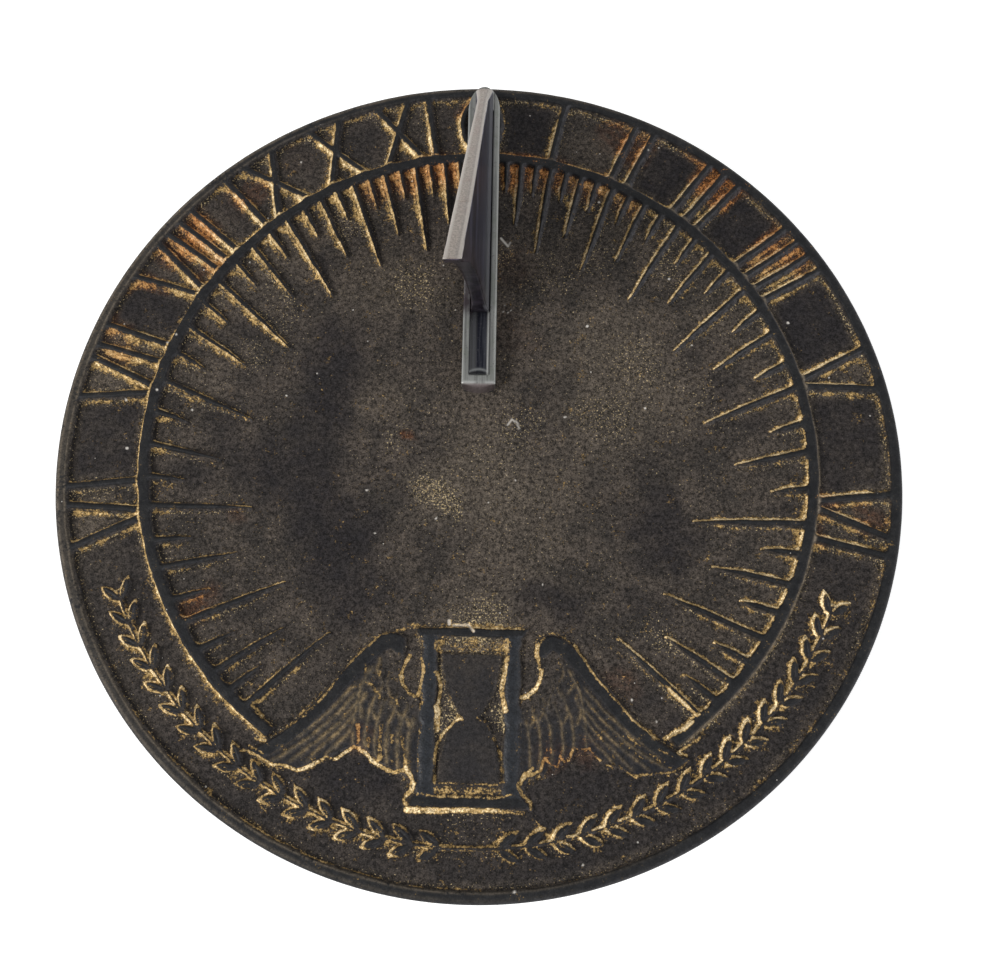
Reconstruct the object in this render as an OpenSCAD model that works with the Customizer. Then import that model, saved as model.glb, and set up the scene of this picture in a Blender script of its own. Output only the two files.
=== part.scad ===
// Horizontal garden sundial: cast dial plate, foot rail and leaning gnomon blade
// Origin at the centre of the rest face, +Z up, noon towards +Y

/* [Dial plate] */
// Outer diameter of the round plate
plate_d = 254; // [220:1:300]
// Height of the sunken field above the rest face
field_h = 6.4; // [5.5:0.1:9]
// Thickness of the plate's web under the field
web_t = 3.2; // [2.4:0.1:3.6]
// Thickness of the skirt wall round the edge
skirt_t = 3.4; // [2.5:0.1:6]
// Rounding of the top outer edge
edge_r = 1.2; // [0.4:0.1:2]
// Rounding where the web meets the skirt inside
cove_r = 1.6; // [0.6:0.1:2]

/* [Relief] */
// Height of the raised work above the field
relief_h = 1.6; // [1:0.1:2.5]
// Width of the raised rim
rim_w = 3.6; // [2.6:0.1:5]
// Width of the numeral band between rim and ring
band_w = 21.2; // [16:0.1:24]
// Width of the raised ring inside the numerals
ring_w = 3.2; // [2:0.1:5]
// Width of a numeral stroke
stroke_w = 2.7; // [1.8:0.1:3.2]
// Width of the noon numeral
noon_w = 14.8; // [12:0.1:17]
// Distance of the noon numeral's middle west of the noon line
noon_shift = 0.9; // [0:0.1:2]

/* [Hour lines] */
// Latitude that the dial is laid out for, in degrees
latitude = 38.5; // [35:0.5:42]
// Distance of the hour lines' origin south of the centre
origin_y = 19.7; // [10:0.1:30]
// Length of an hour line
hour_len = 30.4; // [20:0.1:36]
// Length of a half-hour line
half_len = 22.2; // [14:0.1:26]
// Length of a quarter-hour line
quarter_len = 10.8; // [6:0.1:16]
// Width of a line at the ring
line_w = 2.5; // [1.6:0.1:2.8]
// Width of a line at its inner tip
line_tip_w = 0.8; // [0.4:0.1:1.4]
// Part of a line's length that keeps its full width
line_full = 0.5; // [0.2:0.05:0.8]

/* [Winged hourglass] */
// Height of the frame from its base to its cap
frame_h = 49.1; // [43:0.1:53]
// Width of the base plate along its lower edge
base_w = 35; // [33:0.1:40]
// Width of the cap along its upper edge
cap_w = 32.4; // [31:0.1:38]
// Distance from the middle to a column's axis
column_x = 11.9; // [11:0.1:13]
// Diameter of a column's shaft
column_d = 5.4; // [4:0.1:6]
// Width of the glass bulbs
glass_w = 17.2; // [14:0.1:17.6]
// Width of the neck between the bulbs
neck_w = 4.4; // [2:0.1:5]
// Height of the glass
glass_h = 35.2; // [30:0.1:38]
// Reach of each wing from the middle
wing_x = 61.5; // [56:0.1:64]
// Width of the band along the wing's upper edge
wing_band_w = 4.4; // [3:0.1:5.5]
// Width of a long feather near its tip
primary_w = 5.2; // [4:0.1:6.5]
// Width of a short feather near its tip
secondary_w = 4.2; // [3:0.1:5]

/* [Garland] */
// Angle from noon at which the leaf garland starts
garland_start = 113; // [108:0.5:120]
// Length of one leaf
leaf_len = 7.6; // [5:0.1:9]
// Width of one leaf
leaf_w = 2.6; // [1.6:0.1:3.4]
// Spacing of the leaf pairs along the band
leaf_pitch = 7.4; // [6.5:0.1:10]
// Width of the stem
stem_w = 1.2; // [0.8:0.1:2]

/* [Foot rail] */
// Width of the rail
rail_w = 10.4; // [9.6:0.1:14]
// Height of the rail
rail_h = 3.2; // [2.6:0.1:5]
// Distance of the rail's south end from the dial's centre
rail_south = 18.2; // [12:0.1:24]
// Distance between the rail's north tip and the plate's edge
rail_tip_gap = 2.4; // [1:0.1:5]
// Length over which the north tip narrows
rail_tip_len = 9; // [6:0.1:14]
// Length of the slope at the south end
rail_slope = 2; // [1:0.1:3]
// Bow of the south end in plan
rail_bow = 1.5; // [0.8:0.1:2]
// Width of the groove that the blade stands in
groove_w = 6; // [5:0.1:7]
// Depth of the groove
groove_d = 1.2; // [0.8:0.1:1.8]
// Distance from the south end to the groove
groove_end = 4.8; // [3:0.1:6]
// Inset of the seat under the rail on each side
seat_inset = 0.6; // [0.3:0.1:1.5]

/* [Blade] */
// Distance of the high corner from the dial's centre
blade_high_y = 16.6; // [10:0.1:24]
// Distance of the blade's south foot from the dial's centre
blade_foot_y = 44.2; // [40:0.1:52]
// Thickness of the blade at its high end
blade_high_t = 4.3; // [3:0.1:4.8]
// Thickness of the blade at its low end
blade_low_t = 3.5; // [2.8:0.1:4.2]
// Height over which the blade's foot widens to the groove
blade_flare = 8; // [7:0.1:12]
// Height of the upright end face below the high corner
blade_end_h = 5; // [2:0.1:10]
// Hollow of the curved south edge
blade_hollow = 9; // [4:0.1:14]
// Sideways lean of the blade, in degrees
blade_lean = 3.7; // [0:0.1:6]
// Inset of the blade's low end from the rail's tip
blade_tip_inset = 0.7; // [0.4:0.1:1.4]
// Clearance on each side between blade and groove
blade_clear = 0.1; // [0.05:0.01:0.3]

/* [Fasteners] */
// Diameter of the screws
screw_d = 3; // [2.5:0.1:3.4]
// Diameter of the screw heads
head_d = 5.6; // [5:0.1:7]
// Height of the screw heads
head_h = 1.9; // [1.2:0.1:2.1]
// Width across the hexagon in the screw head
hex_w = 2; // [1.5:0.1:2.5]
// Length of screw in the blade
thread_len = 4; // [3:0.1:4.6]
// Radial clearance of the screws in the blade
thread_clear = 0.02; // [0.01:0.01:0.05]
// Radial clearance of the screws in the plate and rail
hole_clear = 0.2; // [0.1:0.05:0.4]
// Outer diameter of the washers
washer_d = 7; // [6.4:0.1:9]
// Thickness of the washers
washer_t = 0.5; // [0.3:0.1:0.8]
// Distance from the blade's south foot to the first screw
screw_south = 14; // [8:0.1:24]
// Distance from the rail's north tip to the second screw
screw_north = 30.6; // [27:0.1:36]

/* [Hidden] */
$fn = 96;

plate_r = plate_d / 2;
top_z = field_h + relief_h;
back_z = field_h - web_t;
rim_r = plate_r - rim_w;
ring_ro = rim_r - band_w;
ring_ri = ring_ro - ring_w;
ring_mid = (ring_ro + ring_ri) / 2;
band_mid = (rim_r + ring_ro) / 2;
// Depth to which raised work is rooted in the plate
root = 0.6;
// Overlap of strokes with the rim and the ring
bite = 0.5;

rail_north = plate_r - rail_tip_gap;
rail_top = top_z + rail_h;
groove_z = rail_top - groove_d;
blade_t = groove_w - 2 * blade_clear;
blade_low_y = rail_north - blade_tip_inset;
groove_north = rail_north - rail_tip_len;
blade_h = (blade_low_y - blade_high_y) * tan(latitude);
screw_y = [blade_foot_y + screw_south, rail_north - screw_north];
hole_r = screw_d / 2 + hole_clear;

frame_y = -ring_ro;
cap_y = frame_y + frame_h;
cap_t = 2.6;
base_t = 3.6;
// Height of the sill between the base and the glass
sill_h = 3.2;
glass_y = frame_y + base_t + sill_h;
// Level from which the wing's shapes are laid out
wing_y = cap_y + 1;

// Point at radius r and angle a, clockwise from noon
function polar(r, a) = [r * sin(a), r * cos(a)];
function mix(a, b, t) = a + (b - a) * t;
function unit(v) = v / norm(v);
function left_of(v) = [-v.y, v.x];
function bezier2(a, b, c, t) = mix(mix(a, b, t), mix(b, c, t), t);
function bezier3(a, b, c, d, t) = mix(bezier2(a, b, c, t), bezier2(b, c, d, t), t);

// Direction of an hour line, in degrees from noon
function hour_dir(h) = atan2(sin(latitude) * sin(15 * h), cos(15 * h));
// Start of the lines: the two sides of a thick style have an origin each
function hour_start(h) = [sign(h) * blade_t / 2, -origin_y];
// Distance along a ray from p in direction d to the circle of radius r
function reach(p, d, r) = -(p * d) + sqrt((p * d) * (p * d) - p * p + r * r);
// Point where the line of hour h meets the circle of radius r
function hour_point(h, r) =
    let (p = hour_start(h), d = polar(1, hour_dir(h)))
    p + d * reach(p, d, r);
function hour_angle(h) =
    let (p = hour_point(h, band_mid))
    atan2(p.x, p.y);
function line_len(k) = k % 4 == 0 ? hour_len : k % 2 == 0 ? half_len : quarter_len;

// Point on the wing's upper edge, t from the shoulder to the tip
wing_root = [19, wing_y - 4.2];
wing_tip = [wing_x, wing_y - 36];
function wing_edge(t) =
    bezier3(wing_root, [29.5, wing_y + 5.2], [40, wing_y - 28.4], wing_tip, t);
// The ring ends where it meets the wings
wing_cross = [for (t = [0:0.01:1]) if (norm(wing_edge(t)) > ring_mid) wing_edge(t)];
ring_end = len(wing_cross) > 0 ? wing_cross[0] : wing_tip;
ring_reach = atan2(ring_end.x, ring_end.y);
wing_steps = 14;

module bar(p, q, w0, w1) {
    n = left_of(unit(q - p));
    polygon([p + n * w0 / 2, q + n * w1 / 2, q - n * w1 / 2, p - n * w0 / 2]);
}

module oval(a, b) {
    polygon([for (i = [0:12:348]) [a * sin(i), b * cos(i)]]);
}

// Raised ring, open at the bottom between the wings
module ring_shape() {
    difference() {
        circle(r = ring_ro);
        circle(r = ring_ri);
        polygon([
            [0, 0],
            polar(2 * plate_r, ring_reach),
            polar(3 * plate_r, 180),
            polar(2 * plate_r, -ring_reach)
        ]);
    }
}

// Hour, half-hour and quarter-hour lines from early morning to evening
module hour_lines() {
    for (k = [-32:32])
        if (k != 0 && abs(hour_angle(k / 4)) < ring_reach - 1) {
            far = hour_point(k / 4, ring_ri + bite);
            d = polar(1, hour_dir(k / 4));
            len = line_len(abs(k)) + bite;
            near = far - d * len * line_full;
            bar(far, near, line_w, line_w);
            bar(near, far - d * len, line_w, line_tip_w);
        }
}

// One stroke from the foot at angle a0 to the head at angle a1
module stroke(a0, a1) {
    bar(polar(ring_ro - bite, a0), polar(rim_r + bite, a1), stroke_w, stroke_w);
}

// Letters centred on angle a, feet on the ring and heads on the rim
module letter_i(a) {
    stroke(a, a);
}
module letter_v(a) {
    foot = 0.6;
    head = 3.1;
    stroke(a - foot, a - head);
    stroke(a + foot, a + head);
}
module letter_x(a) {
    foot = 3.3;
    head = 2.6;
    stroke(a - foot, a + head);
    stroke(a + foot, a - head);
}

// Group of n letters I with the spacing s, centred on angle a
module letters_i(n, a, s) {
    for (i = [0:n - 1])
        letter_i(a + (i - (n - 1) / 2) * s);
}

module numeral_o() {
    noon_h = band_w + 2 * bite;
    translate([-noon_shift, band_mid])
        difference() {
            oval(noon_w / 2, noon_h / 2);
            oval(noon_w / 2 - stroke_w, noon_h / 2 - stroke_w);
        }
}

// Hour numerals round the band, in degrees from each hour's own angle
module numerals() {
    // Angle between the middles of two neighbouring letters
    i_step = 2.7;
    two_step = 3.1;
    seven_step = 3.3;
    v_step = 5.1;
    x_step = 5.7;
    numeral_o();
    letter_i(hour_angle(1));
    letters_i(2, hour_angle(2) + 1, two_step);
    letters_i(3, hour_angle(3) + 1, i_step);
    letters_i(4, hour_angle(4) + 0.4, i_step);
    letter_v(hour_angle(5));
    letter_v(hour_angle(6) - x_step / 3);
    letter_i(hour_angle(6) + x_step * 2 / 3);
    letter_v(hour_angle(-6) - x_step / 3);
    letter_i(hour_angle(-6) + x_step * 2 / 3);
    letter_v(hour_angle(-5) - seven_step);
    letters_i(2, hour_angle(-5) + v_step - seven_step / 2, seven_step);
    letter_v(hour_angle(-4) - v_step + 0.6);
    letters_i(3, hour_angle(-4) + v_step - 2, i_step - 0.2);
    letter_i(hour_angle(-3) - x_step + 1.3);
    letter_x(hour_angle(-3) + 1.5);
    letter_x(hour_angle(-2) - 1);
    letter_x(hour_angle(-1) - x_step / 3);
    letter_i(hour_angle(-1) + x_step * 2 / 3);
}

// Leaf with its root at the origin, growing along +X
module leaf() {
    bow = (leaf_len * leaf_len + leaf_w * leaf_w) / (4 * leaf_w);
    intersection() {
        translate([leaf_len / 2, leaf_w / 2 - bow])
            circle(r = bow);
        translate([leaf_len / 2, bow - leaf_w / 2])
            circle(r = bow);
    }
}

// Garland of leaf pairs along the lower part of the band
module garland() {
    leaf_tilt = 32;
    first = garland_start;
    turn = 360 - 2 * first;
    pairs = floor(turn * PI / 180 * band_mid / leaf_pitch);
    difference() {
        circle(r = band_mid + stem_w / 2);
        circle(r = band_mid - stem_w / 2);
        polygon([
            [0, 0],
            polar(2 * plate_r, first),
            polar(3 * plate_r, 90),
            polar(3 * plate_r, 0),
            polar(3 * plate_r, -90),
            polar(2 * plate_r, -first)
        ]);
    }
    for (side = [0, 1])
        mirror([side, 0])
            for (i = [0.5:1:pairs / 2], up = [-1, 1])
                rotate(-first - turn * i / pairs)
                    translate([0, band_mid])
                        rotate(180 + up * leaf_tilt)
                            leaf();
}

// Closed outline round a curved spine, narrow at the root, round at the tip
function feather_w(t, w) =
    w * (0.45 + 0.55 * t) * sqrt(max(0, 1 - pow(max(0, t - 0.82) / 0.18, 2)));
function feather_edge(a, b, c, w, side) =
    [for (i = [0:9])
        let (
            t = i < 6 ? i / 6 * 0.82 : 0.82 + 0.18 * sin((i - 5) * 22.5),
            d = unit(bezier2(a, b, c, min(1, t + 0.02)) - bezier2(a, b, c, t - 0.02))
        )
        bezier2(a, b, c, t) + left_of(d) * side * feather_w(min(t, 1), w) / 2];
module feather(a, b, c, w) {
    right = feather_edge(a, b, c, w, -1);
    polygon(concat(feather_edge(a, b, c, w, 1), [for (i = [8:-1:0]) right[i]]));
}

// Raised work of height h with its foot sunk into the plate
module raised(h) {
    translate([0, 0, field_h - root])
        linear_extrude(height = h + root)
            children();
}

module wing() {
    primaries = 6;
    secondaries = 5;
    // Body behind the feathers
    raised(relief_h * 0.5)
        polygon(concat(
            [for (i = [0:wing_steps / 2]) wing_edge(i / wing_steps)],
            [[31, wing_y - 26], [25, wing_y - 34], [column_x, wing_y - 38], [column_x, wing_y - 22]],
            [for (i = [1:5])
                bezier2([14, wing_y - 20], [23, wing_y - 15], wing_root, i / 6)]
        ));
    // Long feathers, tips along the lower edge
    for (i = [0:primaries - 1]) {
        u = i / (primaries - 1);
        a = mix([25, wing_y - 9], [26, wing_y - 22], u);
        c = bezier2([wing_x - 3, wing_y - 38.4], [47, wing_y - 45.6], [34, wing_y - 34.4], u);
        b = mix(a, c, 0.5) + mix([-1.5, -3.5], [-0.5, 0], u);
        raised(relief_h * (0.62 + 0.05 * i))
            feather(a, b, c, primary_w);
    }
    // Short feathers next to the column
    for (i = [0:secondaries - 1]) {
        u = i / (secondaries - 1);
        a = mix([25, wing_y - 22], [16, wing_y - 24], u);
        c = mix([30, wing_y - 35.4], [16.6, wing_y - 42], u);
        raised(relief_h * (0.9 - 0.05 * i))
            feather(a, mix(a, c, 0.5) + [-0.6, 0], c, secondary_w);
    }
    // Smooth band along the upper edge
    raised(relief_h)
        polygon(concat(
            [for (i = [0:wing_steps]) wing_edge(i / wing_steps)],
            [for (i = [wing_steps - 1:-1:1])
                let (
                    t = i / wing_steps,
                    d = unit(wing_edge(t + 0.02) - wing_edge(t - 0.02))
                )
                wing_edge(t) - left_of(d) * wing_band_w * (1 - 0.6 * t)]
        ));
}

// Turned shape of a column of radius r: part of its length, then part of its radius
column_turning = [
    [0, 1],
    [0.05, 1],
    [0.09, 0.72],
    [0.2, 0.95],
    [0.3, 0.95],
    [0.43, 0.66],
    [0.47, 1],
    [0.53, 1],
    [0.57, 0.66],
    [0.7, 0.95],
    [0.8, 0.95],
    [0.91, 0.72],
    [0.95, 1],
    [1, 1]
];

// Turned column, half sunk, lying along the plate from y0 to y1
module column(y0, y1) {
    r = column_d / 2;
    l = y1 - y0;
    outline = concat([[0, 0]], [for (p = column_turning) [r * p[1], l * p[0]]], [[0, l]]);
    intersection() {
        translate([column_x - r, y0, field_h - root])
            cube([column_d, l, column_d]);
        translate([column_x, y0, top_z + 0.2 - r])
            rotate([-90, 0, 0])
                rotate_extrude()
                    polygon(outline);
    }
}

// Half-width of the glass at height s, from 0 at its base to 1 at its top
function glass_half(s) =
    let (u = abs(2 * s - 1))
    neck_w / 2 + (glass_w - neck_w) / 2 * (s < 0.5 ? sqrt(sin(90 * u)) : pow(sin(90 * u), 0.7));

// Plate of the frame from y0 to y1, with the widths w0 and w1 there
module frame_plate(y0, y1, w0, w1) {
    raised(relief_h)
        polygon([[-w0 / 2, y0], [w0 / 2, y0], [w1 / 2, y1], [-w1 / 2, y1]]);
}

module hourglass() {
    base_slope = 3.2;
    cap_slope = 1.4;
    frame_plate(frame_y, frame_y + base_t, base_w, base_w - 2 * base_slope);
    frame_plate(cap_y - cap_t, cap_y, cap_w - 2 * cap_slope, cap_w);
    raised(relief_h * 0.6)
        polygon(concat(
            [for (i = [0:16]) [glass_half(i / 16), glass_y + glass_h * i / 16]],
            [for (i = [16:-1:0]) [-glass_half(i / 16), glass_y + glass_h * i / 16]]
        ));
    // Sill that the glass stands on
    raised(relief_h * 0.75)
        translate([-column_x, frame_y + base_t - bite])
            square([2 * column_x, sill_h + bite]);
    for (side = [0, 1])
        mirror([side, 0, 0]) {
            column(frame_y + base_t - bite, cap_y - cap_t + bite);
            wing();
        }
}

// Hollow casting with rim, skirt and web
module plate_body() {
    rotate_extrude($fn = 256)
        difference() {
            union() {
                square([plate_r - edge_r, field_h]);
                translate([rim_r, 0])
                    square([rim_w - edge_r, top_z]);
                translate([plate_r - 2 * edge_r, 0])
                    square([2 * edge_r, top_z - edge_r]);
                translate([plate_r - edge_r, top_z - edge_r])
                    circle(r = edge_r);
            }
            translate([-1, -1])
                square([plate_r - skirt_t - cove_r + 1, back_z + 1]);
            translate([-1, -1])
                square([plate_r - skirt_t + 1, back_z - cove_r + 1]);
            translate([plate_r - skirt_t - cove_r, back_z - cove_r])
                circle(r = cove_r);
        }
}

// Plan of the rail, drawn in by d all round
module rail_plan(d) {
    w = rail_w / 2 - d;
    n = rail_north - d;
    polygon(concat(
        [for (i = [-4:4]) [w * i / 4, rail_south + d + rail_bow * i * i / 16]],
        [for (i = [0:6])
            [w * cos(i * 15), n - rail_tip_len + rail_tip_len * sin(i * 15)]],
        [for (i = [5:-1:0])
            [-w * cos(i * 15), n - rail_tip_len + rail_tip_len * sin(i * 15)]]
    ));
}

// Seat under the rail, from its south end to the ring
module rail_seat() {
    intersection() {
        rail_plan(seat_inset);
        translate([-rail_w, 0])
            square([2 * rail_w, ring_ri + bite]);
    }
}

module dial_plate() {
    color([0.13, 0.12, 0.12])
        difference() {
            union() {
                plate_body();
                raised(relief_h) {
                    ring_shape();
                    hour_lines();
                    numerals();
                    rail_seat();
                }
                raised(relief_h * 0.8)
                    garland();
                hourglass();
            }
            for (y = screw_y)
                translate([0, y, -1])
                    cylinder(r = hole_r, h = top_z + 2);
        }
}

module gnomon_rail() {
    color([0.66, 0.67, 0.69])
        difference() {
            translate([0, 0, top_z])
                linear_extrude(height = rail_h)
                    rail_plan(0);
            // Groove with its floor above the holes
            translate([-groove_w / 2, rail_south + groove_end, groove_z])
                cube([groove_w, groove_north - rail_south - groove_end, groove_d + 1]);
            // Slope at the south end
            translate([-rail_w, rail_south, top_z])
                rotate([atan2(rail_h, rail_slope), 0, 0])
                    cube([2 * rail_w, 3 * rail_h, rail_h]);
            for (y = screw_y)
                translate([0, y, top_z - 1])
                    cylinder(r = hole_r, h = rail_h + 2);
        }
}

// Side view of the blade above the rail's top, x along the noon line
module blade_side() {
    foot = [blade_foot_y, 0];
    high = [blade_high_y, blade_h];
    end = [blade_high_y + blade_end_h * 0.35, blade_h - blade_end_h];
    mid = mix(foot, end, 0.5) + [blade_hollow, 2];
    polygon(concat(
        [[blade_low_y, -bite], [blade_low_y, 0], high],
        [for (i = [0:12]) bezier2(end, mid, foot, i / 12)],
        [[blade_foot_y, -bite]]
    ));
}

// Upright blade: its side view, cut to its plan and the flare of its foot
module blade_body() {
    intersection() {
        translate([-blade_t / 2, 0, 0])
            rotate([90, 0, 90])
                linear_extrude(height = blade_t)
                    blade_side();
        union() {
            translate([0, 0, -bite])
                linear_extrude(height = blade_h + 2 * bite)
                    bar([0, blade_low_y], [0, blade_high_y], blade_low_t, blade_high_t);
            translate([0, blade_low_y, 0])
                rotate([90, 0, 0])
                    linear_extrude(height = blade_low_y - blade_high_y)
                        polygon([
                            [-blade_t / 2, -bite],
                            [blade_t / 2, -bite],
                            [blade_t / 2, 0],
                            [blade_low_t / 2, blade_flare],
                            [-blade_low_t / 2, blade_flare],
                            [-blade_t / 2, 0]
                        ]);
        }
    }
}

module gnomon_blade() {
    tongue_h = groove_d + bite;
    color([0.6, 0.6, 0.63])
        difference() {
            union() {
                difference() {
                    translate([0, 0, rail_top])
                        rotate([0, -blade_lean, 0])
                            blade_body();
                    translate([-rail_w, 0, rail_top - rail_h])
                        cube([2 * rail_w, plate_r, rail_h]);
                }
                translate([-blade_t / 2, blade_foot_y, groove_z])
                    cube([blade_t, groove_north - blade_foot_y - blade_clear, tongue_h]);
            }
            // Low end drawn in to follow the rail's tip
            translate([0, 0, rail_top - 1])
                linear_extrude(height = rail_w)
                    difference() {
                        translate([-rail_w, groove_north])
                            square([2 * rail_w, 2 * rail_tip_len]);
                        rail_plan(blade_tip_inset);
                    }
            for (y = screw_y)
                translate([0, y, groove_z - 1])
                    cylinder(r = screw_d / 2 + thread_clear, h = thread_len + 1.5);
        }
}

module gnomon_screws() {
    shank = groove_z + thread_len - back_z + washer_t;
    color([0.72, 0.72, 0.7])
        for (y = screw_y)
            translate([0, y, back_z - washer_t])
                difference() {
                    union() {
                        cylinder(r = screw_d / 2, h = shank);
                        translate([0, 0, -head_h])
                            cylinder(r = head_d / 2, h = head_h);
                    }
                    translate([0, 0, -head_h - 1])
                        cylinder(d = hex_w / cos(30), h = head_h * 0.6 + 1, $fn = 6);
                }
}

module screw_washers() {
    color([0.7, 0.7, 0.68])
        for (y = screw_y)
            translate([0, y, back_z - washer_t])
                difference() {
                    cylinder(r = washer_d / 2, h = washer_t);
                    translate([0, 0, -1])
                        cylinder(r = hole_r, h = washer_t + 2);
                }
}

dial_plate();
gnomon_rail();
gnomon_blade();
gnomon_screws();
screw_washers();
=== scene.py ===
# %% [markdown]
# # A cast garden sundial
# The object is a round plate, cast in iron and painted black. Its relief is a rim, a ring,
# Roman numerals, hour lines and a winged hourglass. Gold paint was rubbed into the corners,
# and most of it has worn off. A bright metal blade stands in a rail and throws the shadow.
# The lesson builds the plate's face as one height map, and the metal parts as lofted grids.

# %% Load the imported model
import math
import bpy
import numpy as np
from mathutils import Matrix, Vector


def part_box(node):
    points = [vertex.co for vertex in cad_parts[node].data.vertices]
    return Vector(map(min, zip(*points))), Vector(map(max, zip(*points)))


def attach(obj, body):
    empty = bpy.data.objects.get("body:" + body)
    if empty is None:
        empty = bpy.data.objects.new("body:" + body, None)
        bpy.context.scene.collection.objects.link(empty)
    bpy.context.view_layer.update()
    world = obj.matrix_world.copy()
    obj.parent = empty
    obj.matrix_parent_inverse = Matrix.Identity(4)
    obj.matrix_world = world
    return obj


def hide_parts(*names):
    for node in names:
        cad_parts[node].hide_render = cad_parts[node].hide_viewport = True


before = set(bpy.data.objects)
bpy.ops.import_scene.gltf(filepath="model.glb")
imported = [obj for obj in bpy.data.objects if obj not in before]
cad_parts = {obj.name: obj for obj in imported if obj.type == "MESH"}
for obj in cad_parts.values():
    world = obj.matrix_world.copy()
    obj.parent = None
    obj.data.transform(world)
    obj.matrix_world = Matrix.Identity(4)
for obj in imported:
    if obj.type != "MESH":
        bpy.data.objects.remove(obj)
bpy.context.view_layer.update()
MM = 0.001
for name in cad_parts:
    low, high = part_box(name)
    print(name, "from", [round(c / MM, 1) for c in low], "to", [round(c / MM, 1) for c in high])

# %% [markdown]
# ## The camera
# A picture is matched from its perspective. The plate is a circle, and the picture shows it as
# an ellipse, which gives the tilt and the distance; the ring, the numerals and the blade then
# settle the rest. The dial lay turned by a little over a degree, so the camera is turned the
# other way and the model stays square to its frame. The optical axis passed a little left of
# the middle, which is the camera's small shift.

# %% Camera
PLATE_R = 127.0
TOP_Z = 8.0
TURN_OF_DIAL = math.radians(1.3)
CAMERA_AT = Vector((2.76, -85.77, 289.67))
CAMERA_AIM = Vector((-1.88, -9.84, TOP_Z))
LENS, SENSOR = 35.26, 36.0
LENS_SHIFT = 0.03
NEAREST_SEEN = 0.01


def add_camera():
    """Stands at CAMERA_AT, looks at CAMERA_AIM, and has noon upwards but for the dial's turn."""
    ahead = (CAMERA_AIM - CAMERA_AT).normalized()
    north = Vector((-math.sin(TURN_OF_DIAL), math.cos(TURN_OF_DIAL), 0.0))
    right = ahead.cross(north).normalized()
    up = right.cross(ahead)
    data = bpy.data.cameras.new("camera")
    data.lens = LENS
    data.sensor_width = SENSOR
    data.sensor_fit = "HORIZONTAL"
    data.shift_x = LENS_SHIFT
    data.clip_start = NEAREST_SEEN
    camera = bpy.data.objects.new("camera", data)
    bpy.context.collection.objects.link(camera)
    turned = Matrix((right, up, -ahead)).transposed().to_4x4()
    camera.matrix_world = Matrix.Translation(CAMERA_AT * MM) @ turned
    bpy.context.scene.camera = camera
    return camera


camera = add_camera()
print("camera at", [round(c, 3) for c in camera.matrix_world.translation])

# %% [markdown]
# ## Grids into meshes
# Every new surface is a grid of points, rows by columns. One helper joins neighbours into
# faces, closes the seam where the last column meets the first, and caps an end with a fan.
# Arrays go into the mesh whole, which is far quicker than one vertex at a time.

# %% Grid helper


def fan_round(points, row, middle):
    """Triangles between an end row of a grid and the point numbered `middle`."""
    cols = points.shape[1]
    step = np.arange(cols)
    edge = np.stack([row * cols + step, row * cols + (step + 1) % cols], -1)
    edge = edge[:, ::-1] if row == 0 else edge
    return np.column_stack([edge, np.full(cols, middle)])


def grid_mesh(name, points, wrap=False, cap_first=False, cap_last=False):
    """Quads between rows and columns of points in mm, and fans that close the end rows."""
    rows, cols = points.shape[:2]
    flat = points.reshape(-1, 3)
    i = np.arange(rows - 1)[:, None] * cols
    j = np.arange(cols if wrap else cols - 1)[None, :]
    k = (j + 1) % cols
    quads = np.stack([i + j, i + k, i + cols + k, i + cols + j], -1).reshape(-1, 4)
    fans = [np.zeros((0, 3), int)]
    for wanted, row in ((cap_first, 0), (cap_last, rows - 1)):
        if wanted:
            fans.append(fan_round(points, row, len(flat)))
            flat = np.vstack([flat, points[row].mean(axis=0)])
    fans = np.vstack(fans)
    mesh = bpy.data.meshes.new(name)
    mesh.vertices.add(len(flat))
    mesh.vertices.foreach_set("co", (flat * MM).astype(np.float32).ravel())
    corners = np.concatenate([quads.ravel(), fans.ravel()]).astype(np.int32)
    starts = np.concatenate([np.arange(len(quads)) * 4, len(quads) * 4 + np.arange(len(fans)) * 3])
    mesh.loops.add(len(corners))
    mesh.loops.foreach_set("vertex_index", corners)
    mesh.polygons.add(len(starts))
    mesh.polygons.foreach_set("loop_start", starts.astype(np.int32))
    mesh.polygons.foreach_set("use_smooth", np.ones(len(starts), bool))
    mesh.update(calc_edges=True)
    mesh.validate()
    return mesh


# %% [markdown]
# ## Pieces and their layers
# A mesh becomes a piece when it is linked, rides on the plate's body and hides the part of the imported
# model that it stands for. Masks for the paint are stored with it, one number per vertex, because a vertex
# layer follows the relief exactly and needs no picture.

# %% Piece helpers


def add_piece(mesh, material, slot, *replaced):
    """Links the mesh as a piece that rides on the root body, gives it the material and hides the parts it
    replaces; the slot is not used.
    """
    piece = bpy.data.objects.new(mesh.name, mesh)
    bpy.context.collection.objects.link(piece)
    mesh.materials.append(material)
    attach(piece, "root")
    if replaced:
        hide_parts(*replaced)
    return piece


def set_layer(mesh, name, values):
    """Stores one number per vertex for the material."""
    layer = mesh.attributes.new(name, "FLOAT", "POINT")
    layer.data.foreach_set("value", values.astype(np.float32).ravel())


# %% [markdown]
# ## The plate's plan
# The face is worked out on a polar grid, because the ring, the rim and most lines follow it.
# Angles run clockwise from noon. The fine rows stand 0.3 mm apart, about one pixel of the
# picture, and start where the relief starts. The plain disc inside them is made later.

# %% Polar grid
COLUMNS, SECTORS = 2400, 8
FINE_ROWS, EDGE_ROWS = 250, 6
FIELD_Z, RELIEF = 6.4, 1.6
RIM_R, RING_OUT, RING_IN = 123.4, 102.2, 99.0
EDGE_R = 1.2
FINE_FROM = 50.0

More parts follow.
